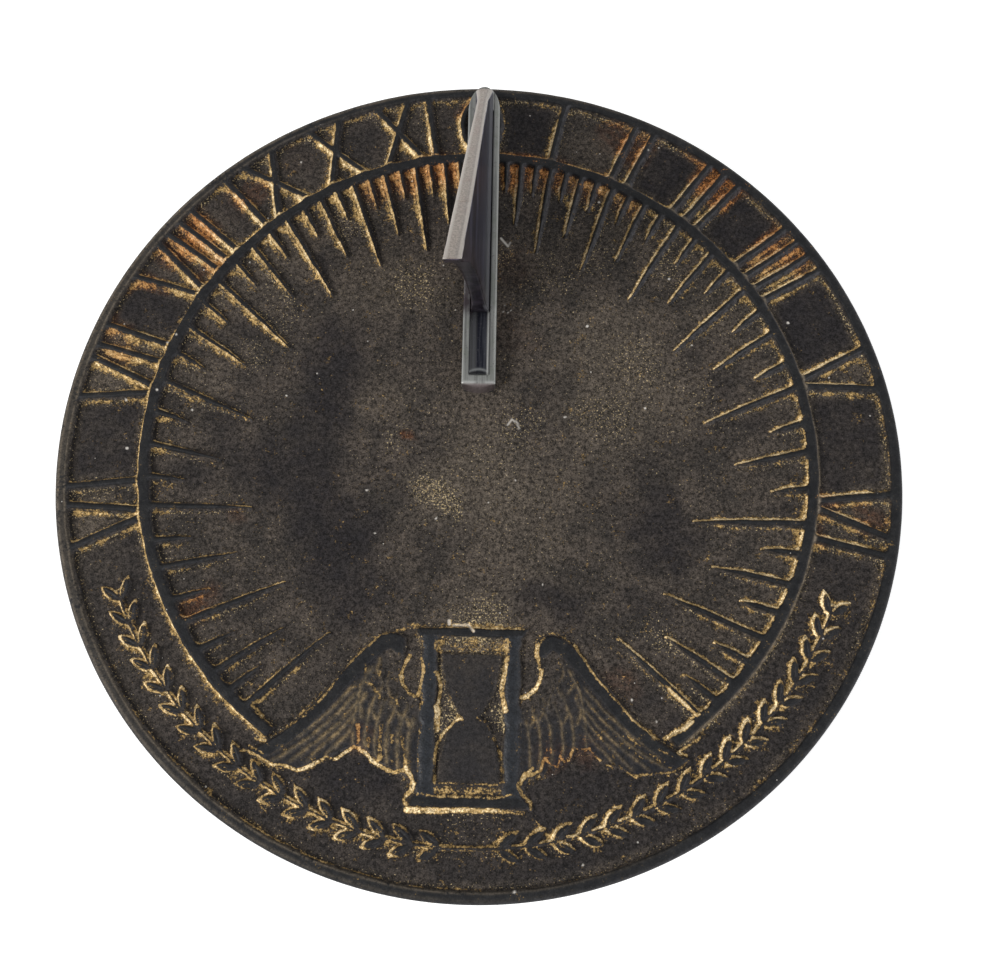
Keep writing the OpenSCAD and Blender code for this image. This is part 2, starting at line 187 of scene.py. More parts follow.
fine_rows = np.linspace(FINE_FROM, PLATE_R - EDGE_R, FINE_ROWS)
edge_turn = np.linspace(0.0, 90.0, EDGE_ROWS + 1)[1:]
edge_rows = PLATE_R - EDGE_R + EDGE_R * np.sin(np.radians(edge_turn))
row_r = np.concatenate([fine_rows, edge_rows])
column_a = np.radians(np.arange(COLUMNS) * 360.0 / COLUMNS)
# R and A are each point's radius and angle, X and Y its place east and north of the middle
R, A = np.meshgrid(row_r, column_a, indexing="ij")
X, Y = R * np.sin(A), R * np.cos(A)
print("face grid", X.shape, "spacing at the rim", round(PLATE_R * 2 * math.pi / COLUMNS, 2), "mm")


def polar(r, degrees):
    """Point at radius r, degrees clockwise from noon."""
    a = np.radians(degrees)
    return np.array([r * np.sin(a), r * np.cos(a)])


# %% [markdown]
# ## An unsteady hand
# The pattern for the casting was carved by hand, so no edge is quite true. Points are moved a
# little by noise before any outline is measured, which bends all the outlines alike. The noise
# is made here from random lattices, so the same numbers come on every machine.

# %% Noise and wander
LATTICE = 128
# Cells are counted from far off, so that no cell number is negative
LATTICE_FROM = 500.0


def soft_noise(x, y, size, seed):
    """Random numbers on a lattice, size mm apart, eased between its corners, from -1 to 1."""
    table = np.random.default_rng(seed).uniform(-1.0, 1.0, (LATTICE, LATTICE))
    u, v = x / size + LATTICE_FROM, y / size + LATTICE_FROM
    i, j = np.floor(u).astype(int), np.floor(v).astype(int)
    s, t = u - i, v - j
    s, t = s * s * (3 - 2 * s), t * t * (3 - 2 * t)
    i, j, i1, j1 = i % LATTICE, j % LATTICE, (i + 1) % LATTICE, (j + 1) % LATTICE
    return ((table[i, j] * (1 - s) + table[i1, j] * s) * (1 - t)
            + (table[i, j1] * (1 - s) + table[i1, j1] * s) * t)


def strayed(x, y, slow, slow_size, fine, fine_size, seed):
    """Points moved by two noises: `slow` mm with large waves and `fine` mm with small ones."""
    return (x + slow * soft_noise(x, y, slow_size, seed) + fine * soft_noise(x, y, fine_size, seed + 1),
            y + slow * soft_noise(x, y, slow_size, seed + 2) + fine * soft_noise(x, y, fine_size, seed + 3))


def wander(x, y):
    """The carver's own stray, 0.14 mm over 6 mm and 0.06 mm over 1.6 mm."""
    return strayed(x, y, 0.14, 6.0, 0.06, 1.6, 1)


# XW, YW, RW and AW are the same places after the hand's wander
XW, YW = wander(X, Y)
RW, AW = np.hypot(XW, YW), np.arctan2(XW, YW)
print("furthest stray", round(float(np.hypot(XW - X, YW - Y).max()), 2), "mm")

# %% [markdown]
# ## Relief as depth
# Each raised shape is described by its depth, the distance inside its outline in millimetres,
# which is negative outside. Shapes join by taking the larger depth, with the corner between
# them filleted, as a foundry pattern needs. A soft step then turns depth into height.

# %% Depth of simple shapes


def mix(a, b, t):
    """The value that lies t of the way from a to b."""
    return a + (b - a) * t


def bar_depth(x, y, p, q, w0, w1):
    """Half the bar's width at the nearest point of its middle line, less the distance to it."""
    p, q = np.asarray(p, float), np.asarray(q, float)
    d = q - p
    t = np.clip(((x - p[0]) * d[0] + (y - p[1]) * d[1]) / (d @ d), 0.0, 1.0)
    return mix(w0, w1, t) / 2 - np.hypot(x - p[0] - t * d[0], y - p[1] - t * d[1])


def outline_depth(x, y, outline):
    """Distance to a closed outline's nearest edge, with its sign from the even-odd rule."""
    a = outline
    b = np.roll(a, -1, axis=0)
    e = b - a
    px, py = x[:, None] - a[:, 0], y[:, None] - a[:, 1]
    t = np.clip((px * e[:, 0] + py * e[:, 1]) / (e ** 2).sum(axis=1), 0.0, 1.0)
    away = np.hypot(px - t * e[:, 0], py - t * e[:, 1]).min(axis=1)
    rise = np.where(np.abs(e[:, 1]) < 1e-9, 1e-9, e[:, 1])
    crosses = ((a[:, 1] > y[:, None]) != (b[:, 1] > y[:, None])) & (px < py * e[:, 0] / rise)
    return np.where(crosses.sum(axis=1) % 2 == 1, away, -away)


# %% Joins and soft edges


def fillet_max(a, b, k):
    """The larger of two depths, rounded over k where they are alike."""
    h = np.clip(0.5 + 0.5 * (a - b) / k, 0.0, 1.0)
    return b + (a - b) * h + k * h * (1 - h)


def soft_step(depth, width):
    """Rises from 0 to 1 while the depth goes from minus half the width to plus half of it."""
    t = np.clip(depth / width + 0.5, 0.0, 1.0)
    return t * t * (3 - 2 * t)


def soft_line(distance, width):
    """A soft line: 1 where the distance is 0, with a bell's fall to both sides."""
    return np.exp(-(distance / width) ** 2)


def window(points, margin=7.0):
    """Mask of the grid points near a shape."""
    low, high = np.min(points, axis=0) - margin, np.max(points, axis=0) + margin
    return (XW > low[0]) & (XW < high[0]) & (YW > low[1]) & (YW < high[1])


def join_bar(depth, p, q, w0, w1, k):
    """Joins a bar to a depth map, inside its window only."""
    near = window([p, q])
    depth[near] = fillet_max(depth[near], bar_depth(XW[near], YW[near], p, q, w0, w1), k)


# %% [markdown]
# ## Ring and rim
# The raised ring parts the hour lines from the numerals, and is open where the figure stands.
# The rim runs all round. Both are plain bands of radius, so their depth is read straight from
# the polar grid.

# %% Ring and rim
BAND_MID = (RIM_R + RING_OUT) / 2
RING_REACH = 146.0
rim_depth = RW - RIM_R
ring_depth = np.minimum((RING_OUT - RING_IN) / 2 - np.abs(RW - (RING_OUT + RING_IN) / 2),
                        (math.radians(RING_REACH) - np.abs(AW)) * RW)
frame_depth = np.maximum(rim_depth, ring_depth)
print("ring covers", int((ring_depth > 0).sum()), "grid points")

# %% [markdown]
# ## Hour lines
# A dial's hour line leaves noon by the angle whose tangent is the sine of the latitude times
# the tangent of 15 degrees an hour. The style is thick, so the morning lines start from one
# of its sides and the evening lines from the other. Quarter hours are short, half hours are
# longer and full hours longest. A few lines stray, because the pattern was carved by hand.

# %% Places of the hour lines
LATITUDE = math.radians(38.5)
STYLE_T = 5.8
ORIGIN = 19.7


def hour_direction(h):
    """Direction of the line of hour h, in degrees clockwise from noon."""
    a = math.radians(15.0 * h)
    return math.degrees(math.atan2(math.sin(LATITUDE) * math.sin(a), math.cos(a)))


def hour_point(h, r):
    """Where the line of hour h meets the circle of radius r."""
    p = np.array([math.copysign(STYLE_T / 2, h), -ORIGIN])
    d = polar(1.0, hour_direction(h))
    along = -(p @ d) + math.sqrt((p @ d) ** 2 - p @ p + r * r)
    return p + d * along


def hour_angle(h):
    """Angle from the dial's centre to the line of hour h at the numerals."""
    x, y = hour_point(h, BAND_MID)
    return math.degrees(math.atan2(x, y))


print("hours stand at", [round(hour_angle(h), 1) for h in range(1, 7)], "degrees")

# %% Hour lines
HOUR_L, HALF_L, QUARTER_L = 30.4, 22.2, 10.8
# A line is widest at the ring, a little narrower after 0.6 of its length, and ends in a point
LINE_FOOT_W, LINE_WAIST_W, LINE_POINT_W, WAIST_AT = 2.5, 2.2, 0.9, 0.6
LINE_JOIN = 0.3
# Lines and strokes start this far inside the ring or the rim
OVERLAP = 0.5
# For some hours: how far the line lies north of its place, and how much longer it is
STRAY = {5: (1.5, 0), 4.5: (1.2, 0), 5.5: (1.2, 0), 6: (-0.6, 2.5), -4: (0, 2.5), -6: (0.9, 0),
         -6.5: (1.2, 0), -7: (1.2, 0)}

marks = np.full_like(RW, -20.0)
lines = 0
for quarter in [q for q in range(-32, 33) if q]:
    hour = quarter / 4
    if abs(hour_angle(hour)) < RING_REACH - 1:
        north, more = STRAY.get(hour, (0, 0))
        length = (HOUR_L if quarter % 4 == 0 else HALF_L if quarter % 2 == 0 else QUARTER_L) + more
        foot = hour_point(hour, RING_IN + OVERLAP) + [0, north]
        way = polar(1.0, hour_direction(hour))
        waist = foot - way * length * WAIST_AT
        join_bar(marks, foot, waist, LINE_FOOT_W, LINE_WAIST_W, LINE_JOIN)
        join_bar(marks, waist, foot - way * length, LINE_WAIST_W, LINE_POINT_W, LINE_JOIN)
        lines += 1
print("hour lines", lines)

# %% [markdown]
# ## Numerals
# The numerals stand with their feet on the ring and reach the rim, so each stroke is a bar
# across the whole band. A V is two strokes that meet at the ring, an X is two that cross.
# The noon numeral is an oval ring, and the rail's end lies over it.

# %% Letters
STROKE = 2.7
STROKE_JOIN = 0.5


def stroke(foot, head):
    """One stroke, from the angle of its foot on the ring to that of its head on the rim."""
    join_bar(marks, polar(RING_OUT - OVERLAP, foot), polar(RIM_R + OVERLAP, head), STROKE, STROKE,
             STROKE_JOIN)


def letters_i(count, at, step=0.0):
    """A group of upright strokes, step degrees apart, centred on an angle."""
    for n in range(count):
        a = at + (n - (count - 1) / 2) * step
        stroke(a, a)


def letter_v(at, foot=0.6, head=3.1):
    """Two strokes that meet at the ring and stand apart at the rim."""
    stroke(at - foot, at - head)
    stroke(at + foot, at + head)


def letter_x(at, foot=3.3, head=2.6):
    """Two strokes that cross."""
    stroke(at - foot, at + head)
    stroke(at + foot, at - head)


# %% Numerals
# Degrees between the strokes of a numeral, and from its middle to its V or its X
I_STEP, TWO_STEP, SEVEN_STEP, V_STEP, X_STEP = 2.7, 3.1, 3.3, 5.1, 5.7

# Plain numbers beside an hour's angle are the degrees by which the carver missed it
letters_i(1, hour_angle(1))
letters_i(2, hour_angle(2) + 1, TWO_STEP)
letters_i(3, hour_angle(3) + 1, I_STEP)
letters_i(4, hour_angle(4) + 0.4, I_STEP)
letter_v(hour_angle(5))
for hour in (6, -6):
    letter_v(hour_angle(hour) - X_STEP / 3)
    letters_i(1, hour_angle(hour) + X_STEP * 2 / 3)
letter_v(hour_angle(-5) - SEVEN_STEP)
letters_i(2, hour_angle(-5) + V_STEP - SEVEN_STEP / 2, SEVEN_STEP)
letter_v(hour_angle(-4) - V_STEP + 0.6)
letters_i(3, hour_angle(-4) + V_STEP - 2, I_STEP - 0.2)
letters_i(1, hour_angle(-3) - X_STEP + 1.3)
letter_x(hour_angle(-3) + 1.5)
letter_x(hour_angle(-2) - 1)
letter_x(hour_angle(-1) - X_STEP / 3)
letters_i(1, hour_angle(-1) + X_STEP * 2 / 3)
print("numerals and lines cover", round(float((marks > 0).mean()), 3), "of the grid")

# %% Noon's oval
NOON_A, NOON_B, NOON_WEST = 7.4, 10.9, 0.9


def oval_depth(x, y, a, b):
    """How far inside an ellipse: its equation's value over the length of its slope."""
    f = np.hypot(x / a, y / b)
    slope = np.hypot(x / a ** 2, y / b ** 2) / np.maximum(f, 1e-6)
    return (1 - f) / np.maximum(slope, 1e-6)


outer = oval_depth(XW + NOON_WEST, YW - BAND_MID, NOON_A, NOON_B)
inner = oval_depth(XW + NOON_WEST, YW - BAND_MID, NOON_A - STROKE, NOON_B - STROKE)
marks = np.maximum(marks, np.minimum(outer, -inner))
print("oval", 2 * NOON_A, "by", 2 * NOON_B, "mm")

# %% [markdown]
# ## One depth for all of them
# Marks meet the ring and the rim in a fillet, as in any casting. The rim and the ring have
# steep walls, while strokes and lines are ridges with broad slopes, so the step from depth to
# height is wider where a point belongs to a mark.

# %% Joined depth
FILLET = 1.6
WALL_SLOPE, RIDGE_SLOPE = 0.85, 1.45
RIDGE_SHRINK = 0.25
SEAT_HALF, SEAT_SOUTH = 4.6, 18.8


def seat_depth(x, y):
    """The pad under the rail, from its south end to the ring."""
    return np.minimum(SEAT_HALF - np.abs(x), np.minimum(y - SEAT_SOUTH, RING_IN + OVERLAP - y))


frame_depth = np.maximum(frame_depth, seat_depth(XW, YW))
is_mark = np.clip(0.5 + (marks - frame_depth) / FILLET, 0, 1)
depth = fillet_max(marks, frame_depth, FILLET)
line_relief = soft_step(depth - RIDGE_SHRINK * is_mark, mix(WALL_SLOPE, RIDGE_SLOPE, is_mark))
print("deepest point of the relief", round(float(depth[:FINE_ROWS].max()), 2), "mm")

# %% [markdown]
# ## Curves for the wings
# The wing's edge is one smooth curve from four corner points: each of its points is a mix of
# mixes of the corners. A feather's quill is drawn as a line of a few points. The distance to
# such a line, and the part of its length where it is nearest, are all that a ridge needs.

# %% Curves


def curve(points, t):
    """Points of a smooth curve: neighbouring corners are mixed by t until one point is left."""
    points = [np.asarray(p, float)[None, :] for p in points]
    t = np.asarray(t, float)[:, None]
    while len(points) > 1:
        points = [mix(a, b, t) for a, b in zip(points[:-1], points[1:])]
    return points[0]


def spine_place(x, y, spine):
    """Nearest point of a polyline: the distance, and the part of its length there."""
    a, e = spine[:-1], spine[1:] - spine[:-1]
    px, py = x[:, None] - a[:, 0], y[:, None] - a[:, 1]
    t = np.clip((px * e[:, 0] + py * e[:, 1]) / (e ** 2).sum(axis=1), 0.0, 1.0)
    away = np.hypot(px - t * e[:, 0], py - t * e[:, 1])
    best = away.argmin(axis=1)
    pick = np.arange(len(x)), best
    return away[pick], (best + t[pick]) / len(e)


# %% [markdown]
# ## The winged hourglass
# Two turned columns carry a cap over a base, with the glass between them. The wings spread
# along the ring's open end. One side is worked out and the other is its mirror image, so
# the figure is worked on the distance from its middle line, which lies a little to the west.

# %% Hourglass frame
FIGURE_NORTH, FIGURE_WEST = -48.0, 0.4
FRAME_Y = -RING_OUT
CAP_Y = FRAME_Y + 49.1
BASE_T, CAP_T = 3.4, 2.6
GLASS_Y, GLASS_H = FRAME_Y + 6.8, 35.2
# Half the widths of the base and the cap at bottom and top, of the sill and of the back plate
BASE_HALF, CAP_HALF, SILL_HALF, BACK_HALF = (17.4, 14.4), (14.8, 16.2), 13.6, 11.0
# How high each stands, as a share of the relief
CAP_LIFT, SILL_LIFT, BACK_LIFT, BASE_GROOVE = 0.97, 0.62, 0.28, 0.12

low_half = YW < FIGURE_NORTH
# fx is the distance from the figure's middle line, fy the level on the plate
fx, fy = np.abs(XW[low_half] + FIGURE_WEST), YW[low_half]
east_side = XW[low_half] + FIGURE_WEST > 0


def slab(y0, y1, half0, half1):
    """Depth inside a slab between two levels whose half-width changes from one to the other."""
    half = mix(half0, half1, np.clip((fy - y0) / (y1 - y0), 0, 1))
    return np.minimum(half - fx, np.minimum(fy - y0, y1 - fy))


base = slab(FRAME_Y + 0.2, FRAME_Y + BASE_T + 0.2, *BASE_HALF)
cap = slab(CAP_Y - CAP_T, CAP_Y, *CAP_HALF)
sill = slab(FRAME_Y + BASE_T - 0.5, GLASS_Y + 0.4, SILL_HALF, SILL_HALF)
back_plate = slab(GLASS_Y + GLASS_H + 0.6, CAP_Y - CAP_T + 0.5, BACK_HALF, BACK_HALF)
base_groove = soft_step(0.5 - np.abs(base - 1.1), 0.6)
lift = np.maximum.reduce([
    soft_step(base + 0.1, 1.5) * (1 - BASE_GROOVE * base_groove), CAP_LIFT * soft_step(cap, 1.0),
    SILL_LIFT * soft_step(sill, 1.0), BACK_LIFT * soft_step(back_plate, 1.2)])
print("hourglass frame from", round(FRAME_Y, 1), "to", round(CAP_Y, 1), "mm")

# %% [markdown]
# ## The glass
# Two bulbs meet in a narrow neck. The outline is a sine that rises from the neck, with the
# lower bulb rounder than the upper one. The glass is nearly flat, and swells by a hair.

# %% Glass
GLASS_HALF, NECK_HALF = 8.6, 2.2
GLASS_LIFT, GLASS_SWELL = 0.62, 0.05


def glass_half(s):
    """Half the glass's width at height s: bulbs that close in to the neck at s = 0.5."""
    u = np.abs(2 * s - 1)
    wave = np.sin(np.clip(u, 0, 1) * math.pi / 2)
    return mix(NECK_HALF, GLASS_HALF, np.where(s < 0.5, np.sqrt(wave), wave ** 0.7))


s = np.clip((fy - GLASS_Y) / GLASS_H, 0, 1)
glass = np.minimum(glass_half(s) - fx, np.minimum(fy - GLASS_Y, GLASS_Y + GLASS_H - fy))
lift = np.maximum(lift, GLASS_LIFT * soft_step(glass, 1.0) + GLASS_SWELL * soft_step(glass - 2.5, 4.0))
print("glass covers", int((glass > 0).sum()), "grid points")

# %% [markdown]
# ## The columns
# A turned column is half round in the relief, and its radius follows a profile with beads at
# the ends and in the middle. A half circle across the width, scaled by the radius at that
# level, gives the whole column in one formula.

# %% Columns
COLUMN_X, COLUMN_R = 11.9, 2.8
COLUMN_FOOT, COLUMN_ROUND = 0.2, 0.82
column_from, column_to = FRAME_Y + BASE_T - 0.5, CAP_Y - CAP_T + 0.5
# The turned profile: parts of the column's length, and the radius there as a share of COLUMN_R
stations = [0, 0.05, 0.09, 0.2, 0.3, 0.43, 0.47, 0.53, 0.57, 0.7, 0.8, 0.91, 0.95, 1]
swell = [1.1, 1.1, 0.74, 0.95, 0.95, 0.72, 1, 1, 0.72, 0.95, 0.95, 0.74, 1, 1]
up_column = (fy - column_from) / (column_to - column_from)
radius = COLUMN_R * np.interp(up_column, stations, swell)
across = np.abs(fx - COLUMN_X) / radius
round_top = np.sqrt(np.clip(1 - across ** 2, 0, 1))
inside = np.minimum(up_column, 1 - up_column) * (column_to - column_from)
column = (across < 1) * soft_step(inside, 0.8)
lift = np.maximum(lift, (COLUMN_FOOT + COLUMN_ROUND * round_top) * column)
print("column", round(column_to - column_from, 1), "mm long")

# %% [markdown]
# ## The wing
# The upper edge of a wing is one curve, and a raised band follows it from the shoulder to the
# tip. The lower edge is a row of feather ends, so it stays a list of corners. Inside the band
# the wing is a low, flat field for the feathers. The east wing's feather ends are sharper.

# %% Wing outline and band
WING_X, WING_Y = 61.5, CAP_Y + 1.0
BAND_FROM_W, BAND_TO_W = 4.9, 3.4
WING_LIFT, BAND_LIFT, BAND_FALL = 0.44, 0.98, 0.12
TOOTH_PITCH, TOOTH_L = 2.6, 1.1
edge_curve = [[19, WING_Y - 4.2], [29.5, WING_Y + 5.2], [40, WING_Y - 28.4], [WING_X, WING_Y - 36]]
upper = curve(edge_curve, np.linspace(0, 1, 25))
lower = np.array([
    [57.9, -90.6], [54, -92.2], [50, -92.6], [47.5, -93.0], [44, -91.7], [40.3, -90.1],
    [36.5, -88.4], [33.2, -86.6], [30.4, -86.2], [28.1, -87.7], [26.2, -89.2], [24.6, -90.9],
    [22.4, -91.6], [20.8, -92.8], [18.9, -93.0], [17, -94.4], [15.3, -95.8], [15.4, -98.2],
    [13, -98.6], [12.5, -80], [14.4, -73], [16, -72.3], [18.8, -70.2], [20.3, -66.6],
    [19.3, -62.3], [18.9, -58.4]])
# Only the points that a wing can reach
near = (fx > 8) & (fx < 70)
wx, wy = fx[near], fy[near]
east_wing = east_side[near]
teeth = np.abs((wx / TOOTH_PITCH) % 1.0 - 0.5) * 2 - 0.5
saw = np.where(east_wing & (wx > 13) & (wx < 33) & (wy < -82), TOOTH_L * teeth, 0.0)
wing_depth = outline_depth(wx, wy, np.vstack([upper, lower])) + saw
band_away, band_t = spine_place(wx, wy, upper)
band_w = mix(BAND_FROM_W, BAND_TO_W, band_t)
band_in = np.minimum(wing_depth, band_w - band_away)
band_slope = BAND_LIFT - BAND_FALL * np.clip(band_away / band_w, 0, 1)
wing = np.maximum(WING_LIFT * soft_step(wing_depth, 1.1), soft_step(band_in, 1.1) * band_slope)
print("wing covers", int((wing_depth > 0).sum()), "grid points")

# %% [markdown]
# ## The feathers
# Every feather is drawn by its quill, a low ridge. The long feathers reach the wing's tip, the middle ones
# hang down, and the short coverts lie over their roots. Each quill is a line of three to five listed points,
# because feathers follow no simple rule, and its ridge fades at both ends.

# %% Quills
PRIMARIES = [
    [[31.5, -68.5], [37.5, -75.2], [45, -82], [52, -86.8], [57.5, -89.2]],
    [[31.5, -71.5], [37, -77.8], [44.5, -84.4], [52, -89.4], [55.5, -91.2]],
    [[31.2, -73.8], [36, -79.8], [43, -86], [50.5, -91.6]],
    [[31, -76], [35.4, -81.6], [41, -86.8], [45.6, -91.6]],
    [[31.2, -79], [34.6, -83.8], [38.2, -87.2], [40.2, -89.8]]]
SECONDARIES = [
    [[27.5, -64], [30.8, -70], [32.4, -78], [32.6, -86.4]],
    [[25.6, -70], [28.4, -77], [29.2, -83], [28.9, -87.2]],
    [[23.6, -73], [25.8, -79], [26.4, -85], [25.8, -89.8]],
    [[20.6, -75], [22.6, -80], [23.2, -86.4], [22.6, -91.8]],
    [[18, -76], [19.6, -81], [20, -87.5], [19.4, -93]],
    [[15.6, -78], [16.8, -84], [17.2, -90], [16.6, -94.6]]]
COVERTS = [
    [[25.8, -61.6], [26.6, -65.4], [24.8, -69], [25.8, -72.6]],
    [[28.8, -64.6], [29.4, -68], [27.4, -71.2]],
    [[22.8, -66], [23.6, -69.4], [22, -73.4], [22.6, -76]],
    [[20.4, -72], [21.4, -75.4], [19.4, -78.6]],
    [[26.8, -73], [27.8, -76.6], [26.4, -79.4]],
    [[17.4, -74.4], [18.2, -78.2], [16.8, -81]],
    [[29.6, -71.4], [31, -75], [30.2, -79.6]]]

# %% Ridges of the feathers
COVERT_STRAY = 0.35
# For each group: the ridge's height as a share of the relief, its half-width, and its stray
GROUPS = ((PRIMARIES, 0.24, 0.6, 0.0), (SECONDARIES, 0.26, 0.62, 0.0), (COVERTS, 0.17, 0.55, COVERT_STRAY))
quill = np.zeros_like(wx)
# The east wing's quills are slimmer
slim = np.where(east_wing, 0.72, 1.0)
for group, height, half_width, stray in GROUPS:
    bend_x = wx + stray * soft_noise(wx, wy, 3.2, 61)
    for spine in group:
        away, along = spine_place(bend_x, wy, np.array(spine, float))
        ends = soft_step(np.minimum(along, 1 - along) - 0.03, 0.1)
        ridge = soft_line(away, half_width * slim) * ends
        quill = np.maximum(quill, ridge)
        wing += height * ridge * soft_step(wing_depth, 0.8) * (band_in < 0.3)
lift[near] = np.maximum(lift[near], wing)
print("feathers in a wing", sum(len(group[0]) for group in GROUPS))

# %% Figure masks for the paint


def on_face(values):
    """A map of the whole face from values of its low half."""
    full = np.zeros_like(depth)
    full[low_half] = values
    return full


bare_wing = soft_step(wing_depth - 0.3, 0.6) * (band_in < 0.2)
long_feathers = soft_step(np.maximum(wx - 27, -77 - wy), 7.0)
line_mask, gap_mask = np.zeros_like(fx), np.zeros_like(fx)
line_mask[near] = quill * bare_wing * np.where(east_wing, 0.62, 0.9) * mix(0.5, 1.0, long_feathers)
# The hollows between the long feathers are smooth and dark, those of the coverts are not
gap_mask[near] = (1 - quill) * bare_wing * soft_step(np.maximum(wx - 26, -76 - wy), 8.0)
figure = on_face(lift)
quill_mask, gap_mask, column_mask = on_face(line_mask), on_face(gap_mask), on_face(column)
glass_mask = on_face(soft_step(glass - 0.6, 0.8))
print("figure covers", int((figure > 0.3).sum()), "grid points")

# %% [markdown]
# ## The garland
# A plain garland of leaf pairs fills the lower part of the band. A leaf's outline is where
# two circles overlap, and its height falls off to both sides of a middle rib.

# %% Garland
GARLAND_FROM = 113.0
LEAF_L, LEAF_W, LEAF_PITCH, LEAF_TILT, STEM_W = 7.6, 2.6, 7.4, 32.0, 1.2
STEM_LIFT, LEAF_LIFT, LEAF_RISE, VEIN_DEPTH, VEIN_W = 0.6, 0.66, 0.2, 0.2, 0.28
LEAF_WINDOW = 10
garland_turn = 360 - 2 * GARLAND_FROM
pairs = math.floor(math.radians(garland_turn) * BAND_MID / LEAF_PITCH)
# Radius of the circles whose overlap is a leaf
bow = (LEAF_L ** 2 + LEAF_W ** 2) / (4 * LEAF_W)
beyond = np.degrees(np.abs(AW)) - GARLAND_FROM
stem = np.minimum(STEM_W / 2 - np.abs(RW - BAND_MID), np.radians(beyond) * RW)
leafage = STEM_LIFT * soft_step(stem, 0.8)
for n in np.arange(0.5, pairs / 2, 1.0):
    at = GARLAND_FROM + garland_turn * n / pairs
    foot = polar(BAND_MID, at)
    near = (np.abs(np.abs(XW) - foot[0]) < LEAF_WINDOW) & (np.abs(YW - foot[1]) < LEAF_WINDOW)
    du, dv = np.abs(XW[near]) - foot[0], YW[near] - foot[1]
    for lean in (-LEAF_TILT, LEAF_TILT):
        # Leaf frame: u along the leaf from its foot, v across it
        a = math.radians(180 - at + lean)
        u = du * math.cos(a) + dv * math.sin(a)
        v = -du * math.sin(a) + dv * math.cos(a)
        leaf = bow - np.hypot(u - LEAF_L / 2, np.abs(v) + bow - LEAF_W / 2)
        height = (LEAF_LIFT + LEAF_RISE * soft_step(leaf - 0.5, 1.0)) * soft_step(leaf, 0.9)
        height -= VEIN_DEPTH * soft_line(v, VEIN_W) * soft_step(leaf, 0.6)
        leafage[near] = np.maximum(leafage[near], height)
figure = np.maximum(figure, leafage)
print("leaf pairs", pairs)

# %% [markdown]
# ## Height of the face
# The parts' heights come together by the larger one. The rim's top is crowned and its outer
# edge is a quarter circle. The field is not flat: a sand casting has slow waves and pits.

# %% Height map
WAVES, RIPPLES, PITS, SAND = 0.10, 0.05, 0.16, 0.03
FIELD_SINK = 0.12
RIM_SLOPE_W, RIM_SLOPE_H = 2.2, 0.3
CROWN, CROWN_REACH = 0.035, 1.3
UNDER_RAIL_HALF, UNDER_RAIL_FROM, UNDER_RAIL_TO, RAIL_CLEAR = 4.4, 19.0, 124.0, 0.02
relief = np.maximum(line_relief, figure)
crown = CROWN * np.clip(depth, 0, CROWN_REACH) * (relief > 0.9)


def casting(x, y, height):
    """Height above the rest face: relief on a field of slow waves and small pits."""
    pits = np.clip(soft_noise(x, y, 1.1, 11) * soft_noise(x, y, 2.3, 12), 0, 1)
    waves = WAVES * soft_noise(x, y, 17.0, 13) + RIPPLES * soft_noise(x, y, 6.0, 14)
    uneven = (1 - np.clip(height, 0, 1)) * (waves - PITS * pits)
    return FIELD_Z - FIELD_SINK + RELIEF * height + uneven + SAND * soft_noise(x, y, 3.0, 15)


Z = casting(X, Y, relief) + crown
Z -= np.clip((RW - (PLATE_R - RIM_SLOPE_W)) / RIM_SLOPE_W, 0, 1) ** 2 * RIM_SLOPE_H
# The outer edge turns down over a quarter circle
past_edge = np.clip(R - (PLATE_R - EDGE_R), 0, None)
Z -= EDGE_R - np.sqrt(np.clip(EDGE_R ** 2 - past_edge ** 2, 0, None))
# Nothing stands above the plate's top, and the rail's seat lies a little under it
Z = np.minimum(Z, TOP_Z)
under_rail = (np.abs(X) < UNDER_RAIL_HALF) & (Y > UNDER_RAIL_FROM) & (Y < UNDER_RAIL_TO)
Z[under_rail] = np.minimum(Z[under_rail], TOP_Z - RAIL_CLEAR)
print("face height from", round(float(Z.min()), 2), "to", round(float(Z.max()), 2))

# %% [markdown]
# ## Where paint collects, and where light is painted
# Rubbed gold stays on the slopes of the relief. How brightly it shows is painted light: a slope that faces
# west or south-west, towards the key lamp, is painted as a broad lit coat, one that faces north-west as a
# thin lit line at its foot, and one that faces east shows little gold and a painted grey sheen. The way a
# slope faces, and how high a point stands on it, are both read from the height map.

# %% Slopes of the height map


def blur(values, half):
    """Mean over a box of `half` grid points to each side, from running sums both ways."""
    box = 2 * half + 1
    v = np.concatenate([values[:, -half:], values, values[:, :half]], axis=1)
    v = np.cumsum(np.pad(v, ((0, 0), (1, 0))), axis=1)
    v = (v[:, box:] - v[:, :-box]) / box
    w = np.pad(v, ((half, half), (0, 0)), mode="edge")
    w = np.cumsum(np.pad(w, ((1, 0), (0, 0))), axis=0)
    return (w[box:] - w[:-box]) / box


def normals_of(height):
    """Unit normals of a height map on the polar grid."""
    at = np.stack([X, Y, height], -1)
    across = np.roll(at, -1, axis=1) - np.roll(at, 1, axis=1)
    n = np.cross(across, np.gradient(at, axis=0))
    return n / np.linalg.norm(n, axis=2, keepdims=True)


def bearing_of(n):
    """The level part of some normals, at unit length."""
    level = np.stack([blur(n[..., 0], 2), blur(n[..., 1], 2)])
    return level / (np.hypot(level[0], level[1]) + 1e-4)


def faces(direction, degrees, full, none):
    """1 where a slope faces within `full` degrees of a bearing, 0 where more than `none` off."""
    a = math.radians(degrees)
    facing = direction[0] * math.sin(a) + direction[1] * math.cos(a)
    low, high = math.cos(math.radians(none)), math.cos(math.radians(full))
    return np.clip((facing - low) / (high - low), 0, 1)


def height_band(low, high, soft):
    """1 where the relief is between two heights, given as shares of its full height."""
    return soft_step(relief - low, 0.1) * (1 - soft_step(relief - high, soft))


# %% Walls and corners


def below_around(around, gain, limit):
    """1 where the relief lies well below the mean height around it, on ground under a limit."""
    return np.clip((around - relief) * gain, 0, 1) * (relief < limit)


